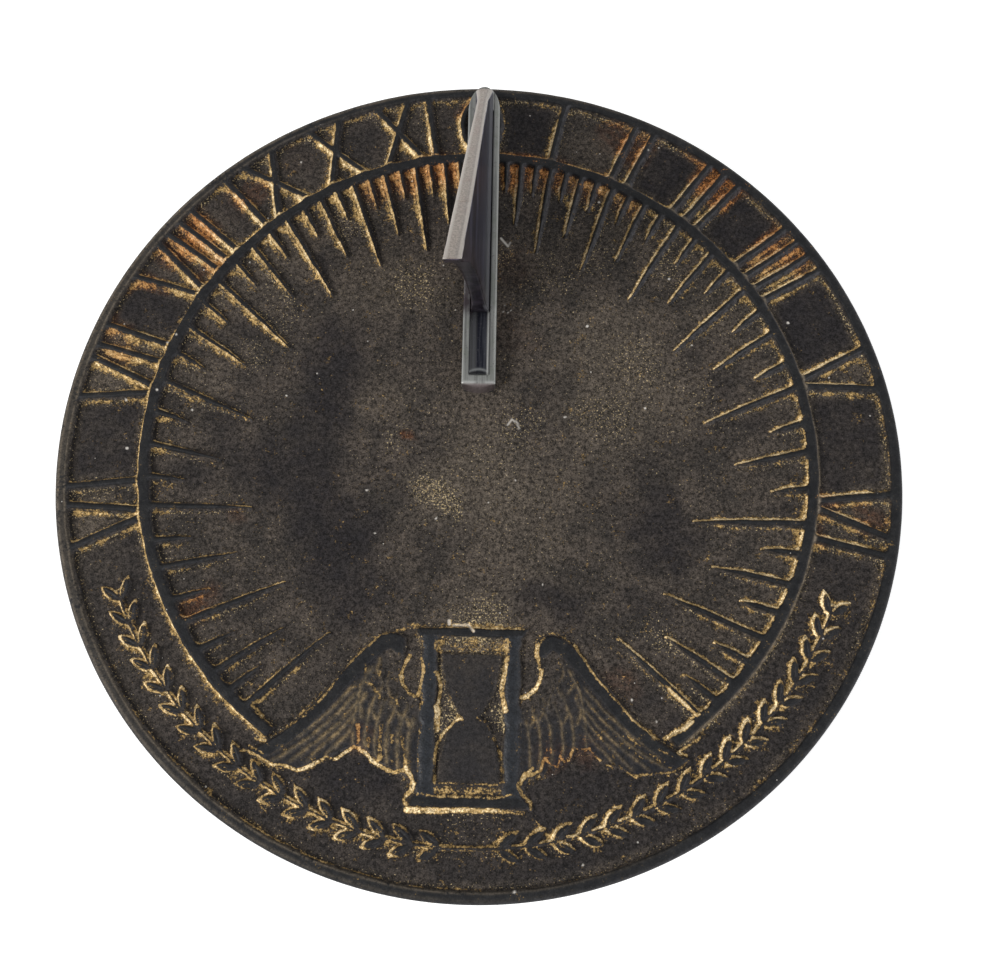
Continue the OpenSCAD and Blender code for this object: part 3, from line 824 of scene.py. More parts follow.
points = np.stack([X, Y, Z], -1)
normals = normals_of(Z)
wide_relief = blur(blur(relief, 6), 5)
near_way = bearing_of(normals)
far_way = bearing_of(normals_of(RELIEF * wide_relief))
wall = np.clip((1 - normals[..., 2]) / 0.2, 0, 1)
# Three reaches: tight under a wall, at its foot, and the wider ground before it
nook = below_around(blur(blur(relief, 2), 2), 3.0, 0.75)
foot_ground = below_around(blur(blur(relief, 3), 3), 5.0, 0.3)
crook = below_around(wide_relief, 3.0, 0.4)
gate = np.clip(1.6 * wall + nook, 0, 1)
print("sloping share of the grid", round(float((wall > 0.5).mean()), 3))

# %% [markdown]
# ## Regions of the face
# The rules for the gold and its painted light differ between east and west, inside and outside the ring, and
# on the figure. Each region is a soft mask of its own, which keeps the rules themselves short.

# %% Regions
FIGURE_TO_R = 107.6
degrees = np.degrees(AW)


def between(start, end, soft_start, soft_end):
    """1 between two angles clockwise from noon, with soft ends."""
    return soft_step(degrees - start, soft_start) * soft_step(end - degrees, soft_end)


east = soft_step(XW - 2, 14.0)
north_west = between(-80, 8, 10.0, 6.0)
north_east = east * soft_step(75 - degrees, 30.0)
inside_ring = RW < RING_IN
outside_ring = RW > RING_OUT
north_band = outside_ring * soft_step(72 - np.abs(degrees), 20.0)
near_rim = soft_step(RW - 118.2, 1.2)
near_ring = soft_step(RW - 82, 14.0) * inside_ring
on_wing = (figure > 0.05) & (np.abs(XW) > 14.8) & (RW < FIGURE_TO_R)
on_frame = (np.abs(XW + FIGURE_WEST) < 15.6) & (YW > FRAME_Y + BASE_T) & (YW < CAP_Y - CAP_T)
on_garland = (figure > 0.02) & (RW > FIGURE_TO_R)
on_ring = np.clip((RING_REACH - np.abs(degrees)) / 3, 0, 1)
print("wings cover", round(float(on_wing.mean()), 3), "of the grid")

# %% [markdown]
# ## Gold and painted light by the way a slope faces
# Each rule is a product: the slope faces a bearing, it stands at some height, and it lies in a region. The
# broad coat, gold painted bright as lit by the key lamp, is on the slopes towards 246 degrees, clockwise
# from noon, and thin lit lines lie on those towards 335. Ground before a wall kept scattered grains, painted
# brighter on the lit side of the wall. Taking the largest of the rules keeps each one's full strength.

# %% Gold on the slopes
# Bearings favoured by the painted light: the broad lit coat, thin lit lines, north slopes in the east, and
# the painted sheen
RICH, THIN, NORTH, SHEEN_BEARING = 246, 335, 5, 105
# On the hour lines in the north-west the gold climbs to the ridge
top_of_gold = 0.80 + 0.3 * north_west * inside_ring + 0.08 * north_band
broad = faces(near_way, RICH, 36, 78) * height_band(0.07, top_of_gold, 0.25) * (1 - east) * 0.9
on_lines = mix(1.0, 0.42 + 0.5 * soft_step(relief - 0.35, 0.5), north_west)
broad *= np.where(inside_ring, on_lines, 1.0)
thin = faces(near_way, THIN, 62, 92) * height_band(0.05, mix(0.5, 0.7, east), 0.24) * mix(0.8, 1.04, east)
sunny = faces(near_way, NORTH, 52, 78) * height_band(0.07, 0.6, 0.22) * east * (degrees > 70)
foot_line = foot_ground * faces(far_way, 330, 60, 88) * mix(0.2 + 0.3 * north_band, 0.56, east)
leafy = height_band(0.06, 0.62, 0.3) * (1 - 0.75 * faces(near_way, 115, 40, 80)) * on_garland
print("broad coat covers", round(float((broad > 0.5).mean()), 3), "of the grid")

# %% Gold on the ground and in all
halo_west = (0.4 + 0.2 * north_west + 0.5 * near_ring) * (1 - east)
halo_east = 0.42 * faces(far_way, 285, 50, 85) * east
halo = crook * np.maximum(faces(far_way, 252, 52, 92) * halo_west, halo_east)
speckle = crook * faces(far_way, 190, 50, 84) * mix(0.62, 0.5, east)
coats = [broad * gate, thin * gate, sunny * gate, foot_line, 0.75 * halo, speckle, leafy * gate]
# Real gold paint, painted brighter where a slope faces the key lamp
gold_and_highlight = np.maximum.reduce(coats)
# The figure was rubbed cleanest, the strokes of the eastern numerals kept the most
gold_and_highlight = gold_and_highlight * np.where(on_wing, 0.15, 1.0) * np.where(on_frame, 0.35, 1.0) * (1 + 0.16 * north_band)
gold_and_highlight = gold_and_highlight * (1 + 0.22 * outside_ring * between(58, 122, 10.0, 6.0))
lost_at_rim = 0.42 * soft_step(degrees + 60, 30.0) + 0.26 * soft_step(degrees - 85, 15.0)
gold_and_highlight = gold_and_highlight * (1 - near_rim * lost_at_rim) * np.where(on_garland, 1 + 0.1 * east, 1.0)
print("gold covers", round(float((gold_and_highlight > 0.5).mean()), 3), "of the grid")

# %% Painted sheen, painted shade and grains
# Slopes that face east get a painted grey sheen; the ground in the lee of walls gets painted shade
painted_sheen = faces(near_way, SHEEN_BEARING, 54, 86) * height_band(0.08, 1.1, 0.2) * gate * (0.35 + 0.45 * north_east)
shade = 0.9 * crook * faces(far_way, 95, 60, 95) * (1 - 0.6 * east)
shade = np.maximum(shade, 0.22 * nook * (1 - faces(near_way, 250, 60, 90)))
grainy = crook * (0.45 + 0.55 * faces(far_way, 200, 60, 100))
print("shade covers", round(float((shade > 0.3).mean()), 3), "of the grid")

# %% [markdown]
# ## Pale lines and painted highlights
# The paint is worn through to a pale line along the ring's outer corner in the east and at the rim's foot.
# The plate's edge and the rim's top are painted paler in the west, a painted highlight where the key lamp
# falls, and the ring's outer corner in the west gets gold painted bright the same way. Each line is a soft
# line of radius, times a wave of the angle from the dial's middle.

# %% Worn corners and painted highlights
ring_line = soft_line(RW - RING_OUT - 0.25, 0.42) * on_ring
# The ring's outer corner in the west goes to the gold, as a painted highlight
westward = np.clip(0.5 - 0.9 * np.sin(AW), 0, 1)
gold_and_highlight = np.maximum(gold_and_highlight, ring_line * westward)
# How pale the ring's corner is at some angles, in degrees clockwise from noon
PALE_AT, PALE_BY = [-180, 0, 25, 60, 100, 125, 150], [0, 0.35, 0.55, 0.65, 0.8, 1, 0.9]
pale_ring = ring_line * (1 - westward) * np.interp(degrees, PALE_AT, PALE_BY)
rim_foot = soft_line(RW - RIM_R - 0.5, 0.35) * np.clip(0.1 - 0.5 * np.sin(AW + 0.35), 0, 0.5)
# A painted highlight on the plate's edge and the rim's top in the west
lit_plate_edge = 0.45 * soft_line(RW - PLATE_R + 1.1, 0.5) * np.clip(0.35 - 0.65 * np.sin(AW - 0.3), 0, 1)
lit_west_rim = 0.2 * np.clip(-1.7 * np.sin(AW) - 0.95, 0, 1) * (RW > RIM_R)
pale_wear_and_highlight = np.maximum.reduce([pale_ring, rim_foot, lit_plate_edge, lit_west_rim])
print("pale lines cover", round(float((pale_wear_and_highlight > 0.3).mean()), 3), "of the grid")

# %% [markdown]
# ## Stains
# Soot, rust and brighter patches lie on the real dial where weather and hands left them, so no rule gives
# their places. Each kind is a list of soft spots: x and y in mm east and north of the middle, the radius,
# and the strength. Noise moves the points before the distance to a spot is taken, which makes every edge
# ragged.

# %% Stain helper
FULL_TO, FADE_W, FADE_POWER = 0.55, 0.7, 1.2


def stains(px, py, spots, ragged, seed):
    """Soft round spots with wavering edges: full to FULL_TO of the radius, then fading."""
    wx, wy = strayed(px, py, ragged, 7.0, 0.4 * ragged, 2.5, seed)
    bare = np.ones_like(px)
    for x, y, radius, strength in spots:
        far = np.hypot(wx - x, wy - y) / radius
        bare *= 1 - strength * (1 - np.clip((far - FULL_TO) / FADE_W, 0, 1)) ** FADE_POWER
    return 1 - bare


# %% Soot
SOOT = [
    (-44, 32, 10, 0.8), (-47, 21, 10, 0.85), (-46, 11, 9, 0.8), (-51, 0, 9, 0.8), (-55, -8, 11, 0.8),
    (-48, -15, 11, 0.85), (-44, -25, 12, 0.85), (-37, -23, 9, 0.6), (-36, -33, 10, 0.75),
    (-44, -39, 8, 0.5), (-36, -46, 9, 0.75), (-27, -42, 8, 0.5), (-67, -5, 9, 0.65), (-76, 5, 8, 0.5),
    (-84, -10, 8, 0.55), (-65, -15, 7, 0.4), (-95, -10, 6, 0.4), (-51, 62, 5, 0.6), (-72, 40, 6, 0.4),
    (55, -20, 10, 0.75), (59, -29, 8, 0.75), (50, -26, 7, 0.6), (63, -23, 7, 0.6), (54, -10, 5, 0.4),
    (20, -44, 7, 0.6), (28, -46, 6, 0.5), (47, -44, 7, 0.45), (54, -49, 6, 0.4), (84, 11, 5, 0.55),
    (75, 22, 6, 0.4), (92, -15, 5, 0.5), (95, -48, 6, 0.5), (15, 112, 10, 0.9), (16, 104, 7, 0.7),
    (58, 97, 9, 0.9), (59, 88, 7, 0.7), (84, 74, 10, 0.9), (79, 73, 8, 0.7), (102, 48, 10, 0.85),
    (107, 35, 9, 0.8), (100, 39, 6, 0.6), (113, 10, 10, 0.7), (109, -3, 10, 0.8), (104, 9, 7, 0.5),
    (108, -37, 9, 0.75), (-103, 44, 10, 0.75), (-113, 6, 9, 0.6), (-109, -6, 9, 0.65),
    (-61, 98, 8, 0.35), (-39, -98, 9, 0.8), (-28, -97, 9, 0.8), (-21, -99, 6, 0.6), (22, -97, 8, 0.7),
    (32, -94, 9, 0.8), (42, -98, 7, 0.6), (2, -87, 9, 0.5), (2, -68, 7, 0.4), (50, -74, 6, 0.5),
    (56, -82, 6, 0.7), (-11, 83, 8, 0.5), (7, 79, 7, 0.5), (26, 81, 5, 0.4), (-67, -86, 7, 0.4),
    (-116, -65, 8, 0.5), (72, -98, 9, 0.5), (96, -76, 8, 0.4), (50, -97, 8, 0.7), (62, -92, 8, 0.6),
    (-33, -93, 7, 0.6)]

# %% Rust
RUST = [
    (-13, 96, 8, 0.8), (-25, 92, 7, 0.6), (-35, 89, 6, 0.45), (12, 97, 8, 0.9), (23, 95, 7, 0.75),
    (35, 91, 7, 0.5), (47, 85, 6, 0.35), (45, 110, 7, 0.7), (50, 105, 7, 0.7), (74, 94, 8, 0.95),
    (79, 89, 7, 0.9), (68, 99, 6, 0.6), (92, 73, 6, 0.8), (99, 66, 6, 0.7), (89, 65, 7, 0.35),
    (-91, 72, 8, 0.85), (-98, 65, 6, 0.5), (-81, 82, 6, 0.5), (-61, 98, 5, 0.3), (-85, 60, 5, 0.5),
    (-81, -48, 5, 0.6), (-77, -45, 4, 0.4), (-71, -22, 3, 0.3), (104, -15, 5, 0.5), (117, -18, 5, 0.5),
    (-112, 30, 6, 0.3), (-20.3, 5.7, 2.6, 1.0), (-106, 50, 7, 0.55), (-112, 40, 5, 0.4),
    (-75, 86, 4, 0.5), (10, 61, 8, 0.15), (11, 40, 8, 0.12), (22, -88, 5, 0.5), (32, -87, 5, 0.4),
    (-31, -83, 4, 0.6), (43, -67, 6, 0.3), (100, -24, 4, 0.4), (-6, 119, 4, 0.6)]

# %% Brighter ground and thick grains
BRIGHT = [
    (1, -7, 16, 0.8), (-13, -15, 10, 0.5), (19, -14, 16, 0.5), (0, 13, 14, 0.4), (42, 32, 20, 0.7),
    (55, 18, 14, 0.5), (36, 8, 16, 0.4), (-26, 15, 10, 0.4), (-22, 54, 14, 0.4), (-36, 57, 12, 0.4),
    (9, -34, 16, 0.4), (34, 105, 9, 0.6), (-57, 96, 8, 0.5), (-87, 70, 12, 0.8), (-110, 31, 10, 0.7),
    (-63, 68, 12, 0.5), (-72, 56, 10, 0.5), (-111, -33, 10, 0.6), (2, -56, 14, 0.6), (73, 47, 12, 0.3),
    (-94, -32, 8, 0.3), (86, -53, 10, 0.3), (-88, -72, 12, 0.4), (111, 29, 7, 0.5), (-114, 20, 9, 0.7),
    (-116, 2, 8, 0.7), (-114, -18, 9, 0.7), (-108, -42, 9, 0.6), (-98, -62, 9, 0.5),
    (-112, -52, 8, 0.5), (-116, -30, 7, 0.5), (-84, 20, 9, 0.4), (-86, 50, 8, 0.5), (117, -8, 6, 0.5),
    (115, 30, 6, 0.5)]
# Gold grains lie thick in some places of the open field
GRAINS = [
    (-13, -12, 7, 0.9), (-8, -16, 5, 0.8), (-24, 2, 5, 0.5), (15, 8, 8, 0.5), (38, 12, 10, 0.5),
    (-20, 55, 9, 0.6), (6, 66, 6, 0.6), (22, 60, 9, 0.4), (38, 62, 7, 0.4), (2, -50, 8, 0.8),
    (48, 30, 9, 0.4), (-62, 45, 8, 0.5), (-70, 30, 6, 0.5), (60, 62, 7, 0.6), (70, 20, 6, 0.5),
    (52, -52, 8, 0.6), (0, -66, 12, 0.4), (-9, -78, 5, 0.9), (10, -78, 5, 0.9), (-44, 76, 8, 0.5),
    (8, 100, 9, 0.4), (0, -106, 10, 0.5)]

# %% Gold worn off
WORN = [
    (-88, 24, 12, 0.5), (-78, 6, 14, 0.7), (-84, -14, 14, 0.75), (-78, -34, 14, 0.6),
    (-66, -56, 14, 0.55), (-50, -60, 10, 0.4), (-88, 40, 9, 0.4), (-112, -10, 10, 0.5),
    (-112, 8, 8, 0.45), (40, 74, 8, 0.3), (20, 118, 8, 0.3), (96, -60, 14, 0.4), (60, -64, 9, 0.4),
    (0, -124, 30, 0.5), (60, -112, 26, 0.4), (-70, -104, 26, 0.35), (-118, -40, 16, 0.4),
    (-108, 44, 13, 0.4), (-98, 62, 8, 0.25), (-70, 52, 12, 0.3)]

# %% [markdown]
# ## Dust and flakes
# White specks of dust and a few curled flakes lie on the face. They are too small to model, so
# each speck is a soft disc of a place and a radius, and each flake a short bar from one point
# to another, with its width and strength.

# %% Dust and flakes
DUST = [
    (-108.3, 14.6, 0.55), (-87.6, 11.8, 0.5), (-106.3, -0.8, 0.7), (-94.5, 36, 0.5), (-97, 33.4, 0.65),
    (-98.6, 17.6, 0.6), (26.6, 11.7, 0.5), (51, 15, 0.55), (11.6, -8.5, 0.35), (-11.7, -20.7, 0.5),
    (-32.7, -12.5, 0.5), (-29.6, -25.6, 0.4), (12.6, -123.2, 0.6), (31.1, -116.2, 0.45),
    (96.2, 44, 0.7), (33.6, 41.8, 0.7), (59.6, 58.4, 0.6), (-60, 98.6, 0.5), (37.8, 85.4, 0.6),
    (-59, 17, 0.45), (-74, 62, 0.4), (45.2, -72.2, 0.5), (52, -78, 0.35), (66, 36, 0.4),
    (20, -40, 0.35), (-12, 62, 0.35), (7.8, 48.3, 0.35), (8.8, 45.9, 0.3), (9.7, 46.9, 0.3),
    (7.2, 46.2, 0.3), (54, 104, 0.4), (100, -22, 0.35), (-40, 46, 0.35)]
FLAKES = [
    (6.2, 71.8, 8.5, 69.0, 0.42, 0.8), (8.5, 69.0, 9.2, 70.4, 0.35, 0.45),
    (9.2, 8.9, 10.4, 10.6, 0.35, 0.6), (10.4, 10.6, 12.0, 9.6, 0.35, 0.6),
    (12.0, 9.6, 12.6, 7.7, 0.35, 0.5), (-5.7, -52.3, -1.4, -52.1, 0.5, 0.5),
    (-1.4, -52.1, 0.2, -54, 0.5, 0.6), (-7, -51, -6.9, -51.9, 0.7, 0.7)]
DISC_SHARE = 0.58


def specks(px, py):
    """Dust specks as small soft discs, and flakes as short bars."""
    found = np.zeros_like(px)
    for x0, y0, x1, y1, w, strength in FLAKES:
        bar = bar_depth(px, py, (x0, y0), (x1, y1), w, w)
        found = np.maximum(found, strength * soft_step(bar + 0.1, 0.4))
    for x, y, radius in DUST:
        found = np.maximum(found, soft_step(DISC_SHARE * radius - np.hypot(px - x, py - y), 0.3))
    return found


print("spots:", len(SOOT), "of soot,", len(RUST), "of rust,", len(DUST), "of dust")

# %% [markdown]
# ## Dark panels
# The plain panels between the numerals are nearly black but for a grainy border. They are
# given by their angles, because their other two sides are the ring and the rim.

# %% Dark panels
# From one numeral to the next, in degrees clockwise from noon: how black the panel is
PANELS = [
    (5, 11.6, 1.0), (14.6, 22.6, 0.25), (29, 35.4, 1.0), (43.8, 50.6, 1.0), (61.4, 73.4, 1.0),
    (80, 95, 0.8), (106, 119, 0.7), (-8, -2, 0.5), (-22, -17, 0.45), (-34, -28, 0.5), (-49, -43, 0.55),
    (-70, -62.5, 0.85), (-95.5, -82.5, 0.85), (-119, -105, 0.7)]
BAND_DARK, BAND_EAST, BAND_FROM = 0.5, 0.45, 117
BORDER = 2.1


def panel_soot():
    """Black inside each panel, fading over the last millimetres before its walls."""
    soot = BAND_DARK * (1 + BAND_EAST * east) * soft_step(np.abs(degrees) - BAND_FROM, 8.0)
    for start, end, strength in PANELS:
        inside = soft_step(np.minimum(degrees - start, end - degrees) + 1.5, 2.0)
        soot = np.maximum(soot, strength * inside)
    return soot * soft_step(-depth - BORDER, 2.2) * (RW > RING_OUT) * (RW < RIM_R)


# %% [markdown]
# ## Gold stroke by stroke
# The bright contours of the figure follow no rule, because the gold pooled where the cloth could not reach.
# They are listed strokes: a width, a strength, and the points that a stroke runs through, in mm east and
# north of the middle.

# %% Gold of the hourglass
GLASS_GILT = [
    (1.0, 1.0, [(-17.7, -91.8), (-16.1, -94.2), (-15.2, -96.3), (-16.1, -98.0), (-17.8, -99.3)]),
    (0.7, 0.7, [(-17.8, -99.3), (-18.5, -100.6), (-17.8, -101.6)]),
    (0.9, 0.8, [(17.2, -91.5), (15.0, -93.7), (13.4, -95.8), (14.3, -98.1), (16.8, -100.2)]),
    (0.7, 0.9, [(16.7, -100.2), (16.9, -102.1)]),
    (0.9, 0.9, [(-10.1, -65.7), (-9.1, -68.1), (-8.9, -70.8), (-9.5, -74.2)]),
    (1.2, 1.0, [(-10.0, -75.3), (-9.6, -77.1), (-9.7, -79.3), (-9.2, -81.5)]),
    (0.8, 0.8, [(-14.5, -61.9), (-13.8, -65.5), (-14.5, -69.6), (-15.3, -72.3)]),
    (0.8, 0.75, [(-17.9, -61.3), (-19.5, -63.9), (-20.2, -66.6), (-19.5, -69.3), (-17.8, -71.5),
                 (-16.0, -72.3)]),
    (0.9, 0.6, [(9.6, -56.2), (10.1, -60.5), (9.7, -63.7)]),
    (1.2, 1.0, [(9.7, -63.4), (8.9, -66.8), (8.3, -70.4), (8.8, -72.4), (9.5, -75.8)]),
    (0.9, 0.6, [(6.4, -83.7), (7.7, -85.9), (8.6, -88.0), (9.2, -92.7)]),
    (0.9, 0.8, [(18.6, -57.3), (18.3, -59.4), (18.9, -62.1), (19.7, -65.0), (19.2, -68.0),
                (17.5, -70.5), (14.8, -72.3)]),
    (0.6, 0.95, [(-3.3, -78.2), (-4.8, -79.4), (-6.4, -81.4), (-8.1, -83.3)]),
    (0.8, 0.65, [(-8.1, -83.3), (-9.3, -86.3), (-9.9, -89.7), (-9.7, -95.7)]),
    (0.6, 0.6, [(1.6, -77.9), (2.6, -78.8), (4.0, -79.0)]),
    (1.0, 0.75, [(-4.0, -77.6), (-2.9, -78.2)]),
    (0.6, 0.6, [(-14.8, -98.8), (-8.5, -99.2), (6.1, -99.3), (12.3, -98.5)]),
    (0.5, 0.5, [(-8.6, -95.8), (-2.8, -96.0), (7.8, -95.7)]),
    (2.0, 0.4, [(-9.0, -97.8), (7.9, -97.5)]),
    (1.4, 1.0, [(-17.6, -103.1), (-7.1, -103.0), (7.1, -102.8)]),
    (1.0, 0.7, [(7.1, -102.8), (15.0, -103.3)]),
    (0.8, 1.0, [(-6.9, -51.0), (-6.9, -51.9)]),
    (0.6, 1.0, [(-5.7, -52.3), (-1.9, -52.2), (-1.1, -51.8)]),
    (0.6, 0.95, [(-1.4, -52.1), (-0.6, -52.8), (0.3, -54.0)]),
    (3.6, 0.4, [(-9.1, -58.3), (9.1, -58.1)]),
    (1.6, 0.5, [(8.6, -56.2), (9.6, -59.1)]),
    (1.6, 0.34, [(-19.3, -52.8), (15.5, -52.1)])]

# %% Gold of the west wing
WEST_GILT = [
    (0.7, 0.9, [(-62.1, -88.5), (-58.8, -90.0), (-55.4, -91.8), (-51.6, -92.1)]),
    (0.9, 1.0, [(-51.6, -92.1), (-48.4, -93.3), (-45.5, -92.6), (-42.6, -91.0)]),
    (0.6, 0.5, [(-42.6, -91.0), (-40.1, -89.3), (-37.9, -89.9)]),
    (0.8, 1.0, [(-37.9, -89.9), (-35.0, -88.4), (-32.7, -86.6), (-29.9, -87.7), (-28.3, -89.0),
                (-26.6, -90.6), (-24.6, -92.1)]),
    (0.9, 0.9, [(-24.6, -92.1), (-23.2, -92.7), (-21.1, -93.3), (-17.8, -92.4), (-16.8, -93.3)]),
    (0.6, 0.6, [(-62.0, -87.1), (-57.8, -88.8)]),
    (0.6, 0.6, [(-64.3, -88.5), (-62.1, -88.5)]),
    (0.7, 0.5, [(-57.6, -84.7), (-53.4, -83.0), (-47.2, -78.7), (-42.1, -73.8), (-37.6, -67.3),
                (-32.4, -60.7), (-26.1, -55.4), (-19.5, -53.6)]),
    (0.8, 0.75, [(-62.1, -76.1), (-59.0, -79.0)]),
    (0.8, 0.7, [(-62.1, -76.1), (-58.7, -73.7)]),
    (0.8, 0.45, [(-50.5, -66.1), (-49.2, -65.4)]),
    (0.7, 0.45, [(-45.3, -61.8), (-43.6, -60.7)]),
    (0.7, 0.9, [(-60.3, -85.0), (-57.6, -85.6)]),
    (0.9, 0.75, [(-32.0, -80.7), (-31.5, -85.7)]),
    (0.9, 0.4, [(-29.2, -81.5), (-28.5, -86.6)]),
    (1.1, 0.55, [(-25.0, -79.8), (-25.2, -85.5), (-25.3, -89.7)]),
    (0.8, 0.4, [(-22.1, -83.4), (-21.6, -92.2)]),
    (0.9, 0.45, [(-19.1, -83.3), (-18.1, -88.5), (-17.8, -92.1)]),
    (0.8, 0.45, [(-26.0, -62.2), (-25.8, -64.4), (-26.5, -66.8)]),
    (0.7, 0.4, [(-30.4, -68.8), (-28.1, -69.8), (-26.4, -72.4), (-25.7, -75.1)]),
    (0.7, 0.35, [(-30.1, -63.4), (-30.4, -67.2)]),
    (0.7, 0.35, [(-24.9, -68.7), (-23.6, -72.4), (-21.1, -73.9), (-20.5, -75.5)])]

# %% Gold of the east wing
EAST_GILT = [
    (0.7, 0.5, [(20.6, -55.3), (18.6, -57.1), (18.1, -60.0), (19.2, -62.8), (20.0, -64.4)]),
    (0.9, 0.95, [(20.0, -64.4), (19.5, -66.7), (18.1, -69.5), (15.6, -71.9), (14.2, -72.3)]),
    (0.6, 0.75, [(29.2, -57.5), (31.8, -60.8), (34.3, -65.2), (36.5, -68.0), (40.4, -72.3),
                 (44.8, -77.2), (48.6, -80.3), (52.5, -82.9)]),
    (0.9, 1.0, [(53.9, -82.6), (57.0, -80.8), (60.9, -78.7), (61.8, -77.9)]),
    (0.8, 0.95, [(55.4, -69.3), (58.9, -72.5), (62.7, -75.8), (63.8, -75.6)]),
    (0.5, 0.4, [(39.5, -57.8), (47.3, -63.3), (55.4, -69.3)]),
    (0.8, 0.95, [(57.6, -86.3), (60.1, -87.0)]),
    (0.7, 0.8, [(57.6, -86.3), (60.7, -84.1), (63.9, -82.1)]),
    (0.9, 0.8, [(13.6, -96.1), (15.2, -92.9), (17.4, -93.1)]),
    (0.55, 0.66, [(17.4, -93.1), (19.6, -91.5), (20.7, -88.5), (22.4, -90.2), (23.9, -90.8),
                  (24.9, -87.9), (26.0, -89.2), (27.5, -88.9), (28.5, -85.6), (30.7, -86.2),
                  (33.0, -85.5), (34.6, -87.6), (36.2, -88.7)]),
    (0.6, 0.5, [(39.6, -89.4), (42.3, -90.9), (45.6, -93.2), (48.3, -92.7), (52.2, -92.0),
                (56.1, -91.7), (58.9, -90.0), (60.6, -88.4)]),
    (0.5, 0.45, [(34.7, -81.2), (36.9, -83.8), (39.1, -86.5), (40.1, -88.6)]),
    (0.5, 0.3, [(31.4, -69.2), (33.6, -74.1), (36.9, -77.9), (41.3, -83.2), (46.8, -87.4),
                (50.1, -89.2)]),
    (0.5, 0.35, [(43.6, -82.1), (47.9, -85.7), (51.2, -87.8), (55.6, -90.4)]),
    (0.5, 0.35, [(52.4, -85.6), (56.7, -87.9)])]

# %% Gold elsewhere, and all strokes together
# The noon oval's east side, and a chip on the open field
LOOSE_GILT = [
    (0.5, 0.45, [(4.8, 124.3), (6.2, 119.7), (6.7, 114.3), (6.3, 108.2), (5.1, 104.1)]),
    (0.9, 0.6, [(-21.1, 6.4), (-19.5, 4.9)]),
    (0.8, 0.75, [(-21.3, 6.8), (-20.4, 6.2), (-19.2, 4.6)])]
HAND = 0.22


def touches():
    """The listed strokes on the face's grid, with a slightly unsteady hand."""
    found = np.zeros_like(depth)
    for w, strength, path in GLASS_GILT + WEST_GILT + EAST_GILT + LOOSE_GILT:
        for start, end in zip(path[:-1], path[1:]):
            near = window([start, end], 3.0)
            x = XW[near] + HAND * soft_noise(XW[near], YW[near], 2.2, 91)
            y = YW[near] + HAND * soft_noise(XW[near], YW[near], 2.2, 92)
            bar = soft_step(bar_depth(x, y, start, end, w, w) + 0.12, 0.55)
            found[near] = np.maximum(found[near], strength * bar)
    return found


# %% [markdown]
# ## The layers that the paint reads
# All masks are gathered under the names by which the material asks for them. Soot stays off
# walls and corners, rust shows only outside the black panels, and worn places lose gold.

# %% Layers
SOOT_OFF_WALLS, GOLD_LOST = 0.6, 0.75


def stain_layers(px, py):
    """The stain maps at any points."""
    return {"soot": stains(px, py, SOOT, 3.0, 21), "rust": stains(px, py, RUST, 2.0, 31),
            "bright": stains(px, py, BRIGHT, 4.0, 41), "grains": stains(px, py, GRAINS, 3.0, 51),
            "dust": specks(px, py)}


layers = stain_layers(X, Y)
worn = stains(X, Y, WORN, 3.0, 71)
panels = panel_soot()
layers["soot"] = np.maximum(layers["soot"] * (1 - SOOT_OFF_WALLS * np.clip(nook + wall, 0, 1)), panels)
layers["rust"] = layers["rust"] * (1 - np.clip(1.6 * panels, 0, 1))
layers.update({
    "raised": relief, "gold_and_highlight": np.maximum(gold_and_highlight * (1 - GOLD_LOST * worn), touches()), "painted_sheen": painted_sheen,
    "grainy": grainy, "pale_wear_and_highlight": pale_wear_and_highlight, "shade": np.clip(shade, 0, 1), "quill": quill_mask,
    "gap": gap_mask, "column": column_mask, "glass": glass_mask})
print("sooty part of the grid", round(float((layers["soot"] > 0.4).mean()), 3))

# %% [markdown]
# ## Short names for nodes
# A material is a tree of nodes, and most of them are sums, products, noises and mixes. A small
# class gives these short names, so that a finish reads as a list of coats, laid one over the
# other by masks. Colours are picked on the screen and turned into linear light once, here.

# %% Painter


def linear(colour):
    """A colour in 0..255 screen values, as the linear numbers that the renderer wants."""
    parts = [c / 255 / 12.92 if c <= 10 else ((c / 255 + 0.055) / 1.055) ** 2.4 for c in colour]
    return (*parts, 1.0)


